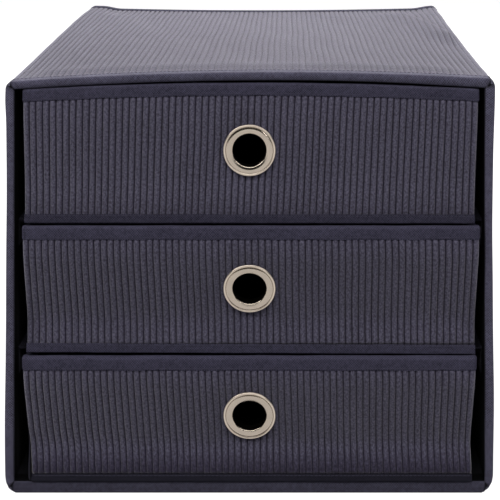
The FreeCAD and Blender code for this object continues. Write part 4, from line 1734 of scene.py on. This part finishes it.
    def build_lining(self) -> None:
        """Make the lining: sides, floor, rear and the panel behind the front."""
        inset = self.layers.plain + self.layers.board
        piece = Piece(self.named("lining"))
        self.trough(piece, inset, self.layers.cord + self.layers.board, self.layers.lining, -0.4 * MM,
                    self.lining_corner, 0.0)
        self.end_panel(piece, inset, self.layers.lining)
        part, share = np.meshgrid(np.linspace(-1, 1, 90), np.linspace(0, 1, 34))
        low = self.floor + self.layers.plain
        level = low + share * (self.head - self.layers.tape + self.arch(part) - low)
        x = part * (self.half_at(level) - inset)
        front = self.front_at(level)
        near = np.stack([x, front + self.front_wall, level], -1)
        far = np.stack([x, front + self.front_wall - self.layers.lining, level], -1)
        middle_x, middle_z = (x[:-1, :-1] + x[1:, 1:]) / 2, (level[:-1, :-1] + level[1:, 1:]) / 2
        piece.add_shell(near, far, keep=np.hypot(middle_x, middle_z - self.eye[2]) > self.lining_hole)
        piece.place(self.body, Slot.LINING, self.finishes.lining, [self.named("lining")])

    def rim_lines(self) -> tuple[Points, Points, Points]:
        """Trace the rim tape all the way round.

        Returns:
            Its outer line, its inner line and the direction of its fold.
        """
        tape = self.layers.tape
        round_out, front_count = 3.0 * MM, 90
        front_out, front_in = self.head_y - tape, self.head_y + self.front_wall + tape
        side_out, side_in = self.half + tape, self.half - self.side_wall - tape
        rear_out, rear_in = self.rear + tape, self.rear - self.side_wall - tape
        turn = np.linspace(0, math.pi / 2, 6)[1:-1]
        outer, inner = [], []
        for x in np.linspace(-(side_out - round_out), side_out - round_out, front_count):
            outer.append((x, front_out))
            inner.append((np.clip(x, -side_in, side_in), front_in))
        for a in turn:
            outer.append((side_out - round_out * (1 - math.sin(a)), front_out + round_out * (1 - math.cos(a))))
            inner.append((side_in, front_in))
        for y in np.concatenate([np.linspace(front_out + round_out, front_in + self.lip_run + 1 * MM, 12),
                                 np.linspace(front_in + self.lip_run + 4 * MM, rear_out - round_out, 60)]):
            outer.append((side_out, y))
            inner.append((side_in, np.clip(y, front_in, rear_in)))
        for a in turn:
            outer.append((side_out - round_out * (1 - math.cos(a)), rear_out - round_out * (1 - math.sin(a))))
            inner.append((side_in, rear_in))
        for x in np.linspace(side_out - round_out, 0, 40):
            outer.append((x, rear_out))
            inner.append((np.clip(x, -side_in, side_in), rear_in))
        outer_xy, inner_xy = np.array(outer), np.array(inner)
        mirror = np.array([-1.0, 1.0])
        outer_xy = np.concatenate([outer_xy, (outer_xy[front_count:-1] * mirror)[::-1]])
        inner_xy = np.concatenate([inner_xy, (inner_xy[front_count:-1] * mirror)[::-1]])
        front = ease(-outer_xy[:, 1], -(front_in + 0.5 * MM), -front_in)
        z = self.rim_at(outer_xy[:, 1]) + self.arch(np.clip(outer_xy[:, 0] / self.half, -1, 1)) * front
        z += 0.12 * MM * ripple(along_line(np.column_stack([outer_xy, z])), 60 * MM, self.lean)
        back = math.radians(self.lean) * self.turn_back
        lean = self.taper / (self.head - self.floor)
        at_front = 1 - ease(outer_xy[:, 1], front_out, front_out + round_out)
        side = np.sign(outer_xy[:, 0]) * ease(np.abs(outer_xy[:, 0]), side_out - round_out, side_out)
        outer_xy[:, 0] += self.aside(outer_xy[:, 0] / side_out, z, outer_xy[:, 1])
        crest = unit(np.column_stack([side * lean, at_front * math.sin(back), np.ones(len(z))]))
        return np.column_stack([outer_xy, z]), np.column_stack([inner_xy, z]), crest

    def build_tapes(self) -> None:
        """Make the tape round the rim and the hem along the front's lower edge, with their stitching."""
        outer, inner, crest = self.rim_lines()
        rim = FoldedTape(outer, inner, crest, self.rim_leg, self.rim_leg, self.layers.tape, radius=1.5 * MM,
                         puff=0.15 * MM, closed=True, phase=self.lean)
        self.sew_tape(rim, "rim_binding", 1.2 * MM)
        back = math.radians(self.lean) * self.turn_back
        half = self.half_at(self.floor)
        x = np.linspace(self.nip[0] - half, half - self.nip[1], 120)
        x = x + self.aside(x / half, self.floor, self.head_y)
        face = self.front_at(self.floor) - self.layers.tape
        z = self.floor + 0.1 * MM * (1 + ripple(x, 70 * MM, self.lean + 1.0))
        z = z + np.interp(x, [-half, half], self.hem_up)
        outer = np.stack([x, np.full_like(x, face), z], -1)
        inner = outer + np.array([0.0, self.layers.cord + self.layers.tape, 0.0])
        # The hem takes the same painted shade as the front's lower edge.
        hem = FoldedTape(outer, inner, np.array([0.0, -math.sin(back), -math.cos(back)]), self.hem_leg,
                         1.2 * MM, self.layers.tape, radius=0.8 * MM, puff=0.0, phase=self.lean + 2,
                         tone=1 - self.lower_shade)
        self.sew_tape(hem, "front_hem", 1.0 * MM)

    def sew_tape(self, tape: FoldedTape, name: str, inset: float) -> None:
        """Make one of the drawer's tapes, with its stitching near the outer leg's edge."""
        seams = [tape.outer_seam(inset)]
        # The drawers' tapes take the darker copy of the binding tape, as painted shade.
        tape.sew(self.body, self.named(name), self.finishes.rim_tape, self.finishes.thread, seams)

    def build_eyelet(self) -> None:
        """Make the spun eyelet: bore, lip, broad ring, groove and bead."""
        wall = self.front_wall * math.cos(math.radians(self.lean))
        tail, crest = -(wall / MM + 0.6), 1.85
        outline = [(13.2, tail), (13.2, tail - 0.35)] + arc_points((11.9, tail + 0.3), 0.9, -90, -180, 5)
        outline += [(11.0, -1.5)] + arc_points((12.05, 0.42), 1.05, 180, 117, 8)
        outline += [(r, crest - 0.15 * (r - 13.5) ** 2) for r in np.linspace(11.75, 13.5, 6)]
        outline += [(14.15, crest)]
        outline += [(14.3 + s, crest - 0.2 * s - 0.165 * s ** 2) for s in np.linspace(0, 1.15, 6)]
        outline += [(15.6, 1.02)] + arc_points((16.4, 0.8), 0.8, 158, -50, 13)
        outline += [(16.8, 0.0), (15.0, 0.0), (14.0, 0.9), (12.5, 0.9), (11.8, 0.5), (11.6, 0.2), (11.6, tail)]
        profile = np.array(outline) * MM
        turn = np.linspace(0, 2 * math.pi, 112, endpoint=False)
        lean = math.radians(self.lean)
        axis = np.array([0.0, -math.cos(lean), -math.sin(lean)])
        side = np.array([1.0, 0.0, 0.0])
        up = np.cross(side, axis)
        spokes = np.cos(turn)[:, None] * side + np.sin(turn)[:, None] * up
        loops = self.eye + spokes[:, None] * profile[:, :1] + axis * profile[:, 1:]
        # 0 on the bead, which the finish lightens as a painted highlight and makes rougher.
        bead = np.where(profile[:, 0] > 15.65 * MM, 0.0, 1.0)
        piece = Piece(self.named("eyelet"))
        piece.add_sweep(loops, closed=True, wale=np.broadcast_to(bead, loops.shape[:2]))
        piece.place(self.body, Slot.NICKEL, self.finishes.nickel, [self.named("eyelet")], METAL_SHARP)

    def build(self) -> None:
        """Make every piece of the drawer."""
        self.build_front()
        self.build_bag()
        self.build_lining()
        self.build_tapes()
        self.build_eyelet()


def dress_solids(frame: dict[str, Any], finishes: Finishes) -> None:
    """Give the carried solids their finishes.

    Args:
        frame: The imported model.
        finishes: The materials of the box.
    """
    for name, solid in frame["nodes"].items():
        if name.endswith("base_board"):
            finish = finishes.lining
        elif name.endswith("washer"):
            finish = finishes.nickel
        else:
            finish = finishes.board
        solid.data.materials.clear()
        solid.data.materials.append(finish)


@dataclass(frozen=True)
class Studio:
    """The floor, the light and the camera of the picture.

    Attributes:
        frame_px: Width of the picture.
        focal_px: Focal length in pixels.
        principal_px: Where the line of sight that meets the box's front squarely meets the picture.
        eye: Place of the camera.
        sensor_mm: Width of the sensor.
        floor_half: Half the floor's width.
        aim: Place that the lamps face.
        lamps: Name, place, size and power of each lamp.
    """

    frame_px: float = 500.0
    focal_px: float = 1132.0
    principal_px: tuple[float, float] = (289.5, -160.0)
    eye: tuple[float, float, float] = (0.0263, -0.9024, 0.4284)
    sensor_mm: float = 36.0
    floor_half: float = 9.0
    aim: tuple[float, float, float] = (0.0, 0.0, 0.13)
    lamps: tuple[tuple[str, tuple[float, float, float], tuple[float, float], float], ...] = (
        ("lamp_front", (0.0, -1.2, 1.7), (2.2, 0.6), 25.0),
        ("lamp_left", (-1.3, -0.55, 1.25), (0.7, 0.9), 14.0),
        ("lamp_right", (1.3, -0.55, 1.25), (0.7, 0.9), 7.0),
        ("lamp_strip", (1.15, -1.8, 0.75), (0.12, 0.8), 3.4),
        ("lamp_rear", (0.0, 1.3, 1.15), (1.8, 0.8), 28.0))

    def build_camera(self) -> None:
        """Set a camera whose film stays parallel to the box's front while it looks down at it."""
        run = np.array([(0.5 * self.frame_px - self.principal_px[0]) / self.focal_px, 1.0,
                        -(0.5 * self.frame_px - self.principal_px[1]) / self.focal_px])
        reach = float(np.linalg.norm(run))
        data = bpy.data.cameras.new("camera")
        data.sensor_width = self.sensor_mm
        data.lens = self.focal_px / self.frame_px * self.sensor_mm * reach
        data.clip_start = 0.05
        camera = bpy.data.objects.new("camera", data)
        stand = bpy.data.objects.new("camera_stand", None)
        for made in (camera, stand):
            bpy.context.scene.collection.objects.link(made)
        back = Vector((-run / reach).tolist())
        columns = [Vector((1, 0, 0)), Vector((0, 0, 1)), back]
        place = Matrix.Identity(4)
        for number, column in enumerate(columns):
            for row in range(3):
                place[row][number] = column[row]
        for row in range(3):
            place[row][3] = self.eye[row]
        camera.parent = stand
        camera.matrix_parent_inverse = place
        bpy.context.scene.camera = camera

    def seen_directly(self, graph: Graph) -> Signal:
        """Tell rays from the camera, and mirrored and passed ones, from the rest.

        Args:
            graph: Nodes of the material.

        Returns:
            A value of 1 for those rays and 0 for others.
        """
        path = graph.add("ShaderNodeLightPath", None, None, "Is Camera Ray")
        outs = path.socket.node.outputs
        return path.larger(Signal(graph, outs["Is Glossy Ray"])).larger(Signal(graph, outs["Is Transmission Ray"]))

    def build_floor(self) -> None:
        """Make the pale floor, which keeps the box's shadow."""
        mesh = bpy.data.meshes.new("floor")
        size = self.floor_half
        mesh.from_pydata([(-size, -size, 0), (size, -size, 0), (size, size, 0), (-size, size, 0)], [], [(0, 1, 2, 3)])
        floor = bpy.data.objects.new("floor", mesh)
        bpy.context.scene.collection.objects.link(floor)
        made = bpy.data.materials.new("floor")
        made.use_nodes = True
        graph = Graph(made.node_tree)
        dull = graph.add("ShaderNodeBsdfDiffuse", None, {"Color": (0.3, 0.3, 0.3, 1.0)})
        matt = graph.add("ShaderNodeBsdfDiffuse", None, {"Color": (0.22, 0.22, 0.22, 1.0)})
        glow = graph.add("ShaderNodeEmission", None, {"Color": (1, 1, 1, 1), "Strength": 0.93})
        lit = graph.add("ShaderNodeAddShader", None, {0: matt, 1: glow})
        surface = graph.add("ShaderNodeMixShader", None, {0: self.seen_directly(graph), 1: dull, 2: lit})
        graph.add("ShaderNodeOutputMaterial", None, {"Surface": surface})
        mesh.materials.append(made)

    def build_light(self) -> None:
        """Set a soft room and its lamps."""
        world = bpy.data.worlds.new("studio")
        bpy.context.scene.world = world
        world.use_nodes = True
        graph = Graph(world.node_tree)
        _, _, rise = graph.parts(graph.add("ShaderNodeTexCoord", None, None, "Generated"))
        level = ((rise - 0.6) * 4.0).clamped()
        room = graph.add("ShaderNodeBackground", None, {"Color": (1, 1, 1, 1), "Strength": 0.04 + 0.3 * level})
        white = graph.add("ShaderNodeBackground", None, {"Color": (1, 1, 1, 1), "Strength": 1.0})
        path = graph.add("ShaderNodeLightPath", None, None, "Is Camera Ray")
        surface = graph.add("ShaderNodeMixShader", None, {0: path, 1: room, 2: white})
        graph.add("ShaderNodeOutputWorld", None, {"Surface": surface})
        for lamp in self.lamps:
            self.lamp(*lamp)

    def lamp(self, name: str, place: tuple[float, float, float], size: tuple[float, float], power: float) -> None:
        """Hang one soft lamp that faces the box.

        Args:
            name: Name of the lamp.
            place: Where it hangs.
            size: Width and height of its face.
            power: Power in watts.
        """
        data = bpy.data.lights.new(name, "AREA")
        data.shape = "RECTANGLE"
        data.size, data.size_y = size
        data.energy = power
        lamp = bpy.data.objects.new(name, data)
        lamp.location = place
        lamp.rotation_euler = (Vector(self.aim) - Vector(place)).to_track_quat("-Z", "Y").to_euler()
        bpy.context.scene.collection.objects.link(lamp)

    def build(self) -> None:
        """Set up the studio."""
        self.build_camera()
        self.build_floor()
        self.build_light()
        bpy.context.scene.view_settings.view_transform = "Standard"


def main() -> None:
    """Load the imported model, dress it and set it in the studio."""
    logging.basicConfig(level=logging.INFO, format="%(name)s: %(message)s")
    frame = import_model()
    layers, finishes, wale = Layers.measured(), Finishes.made(), Wale()
    dress_solids(frame, finishes)
    Sleeve(layers, finishes, wale).build()
    # Painted shade: the top and bottom drawers' lower edges and hems are darkened, and the middle and bottom fronts as
    # a whole.
    Drawer(Body.BOTTOM, layers, finishes, wale, lean=11.0, proud=1.5 * MM, crown=0.0, taper=4.0 * MM, rise=1.6 * MM,
           slant=2.9 * MM, hang=8.0, flare=6.2 * MM, lower_shade=0.66, front_shade=0.93, nip=(2.4 * MM, -0.8 * MM),
           hem_leg=5.0 * MM).build()
    Drawer(Body.MIDDLE, layers, finishes, wale, lean=11.0, proud=1.5 * MM, crown=0.0, taper=2.0 * MM, rise=1.2 * MM,
           slant=2.0 * MM, hang=8.0, push=(1.6 * MM, 2.2 * MM), flare=1.8 * MM, front_shade=0.93,
           hem_up=(0.5 * MM, -0.8 * MM)).build()
    Drawer(Body.TOP, layers, finishes, wale, lean=3.0, proud=0.0, crown=3.2 * MM, taper=1.0 * MM, rise=4.6 * MM,
           slant=-3.8 * MM, push=(0.0, 1.8 * MM), lower_shade=0.2, spring=0.9 * MM, tip=0.1 * MM,
           hem_up=(0.8 * MM, 0.4 * MM)).build()
    Studio().build()


if __name__ == "__main__":
    main()
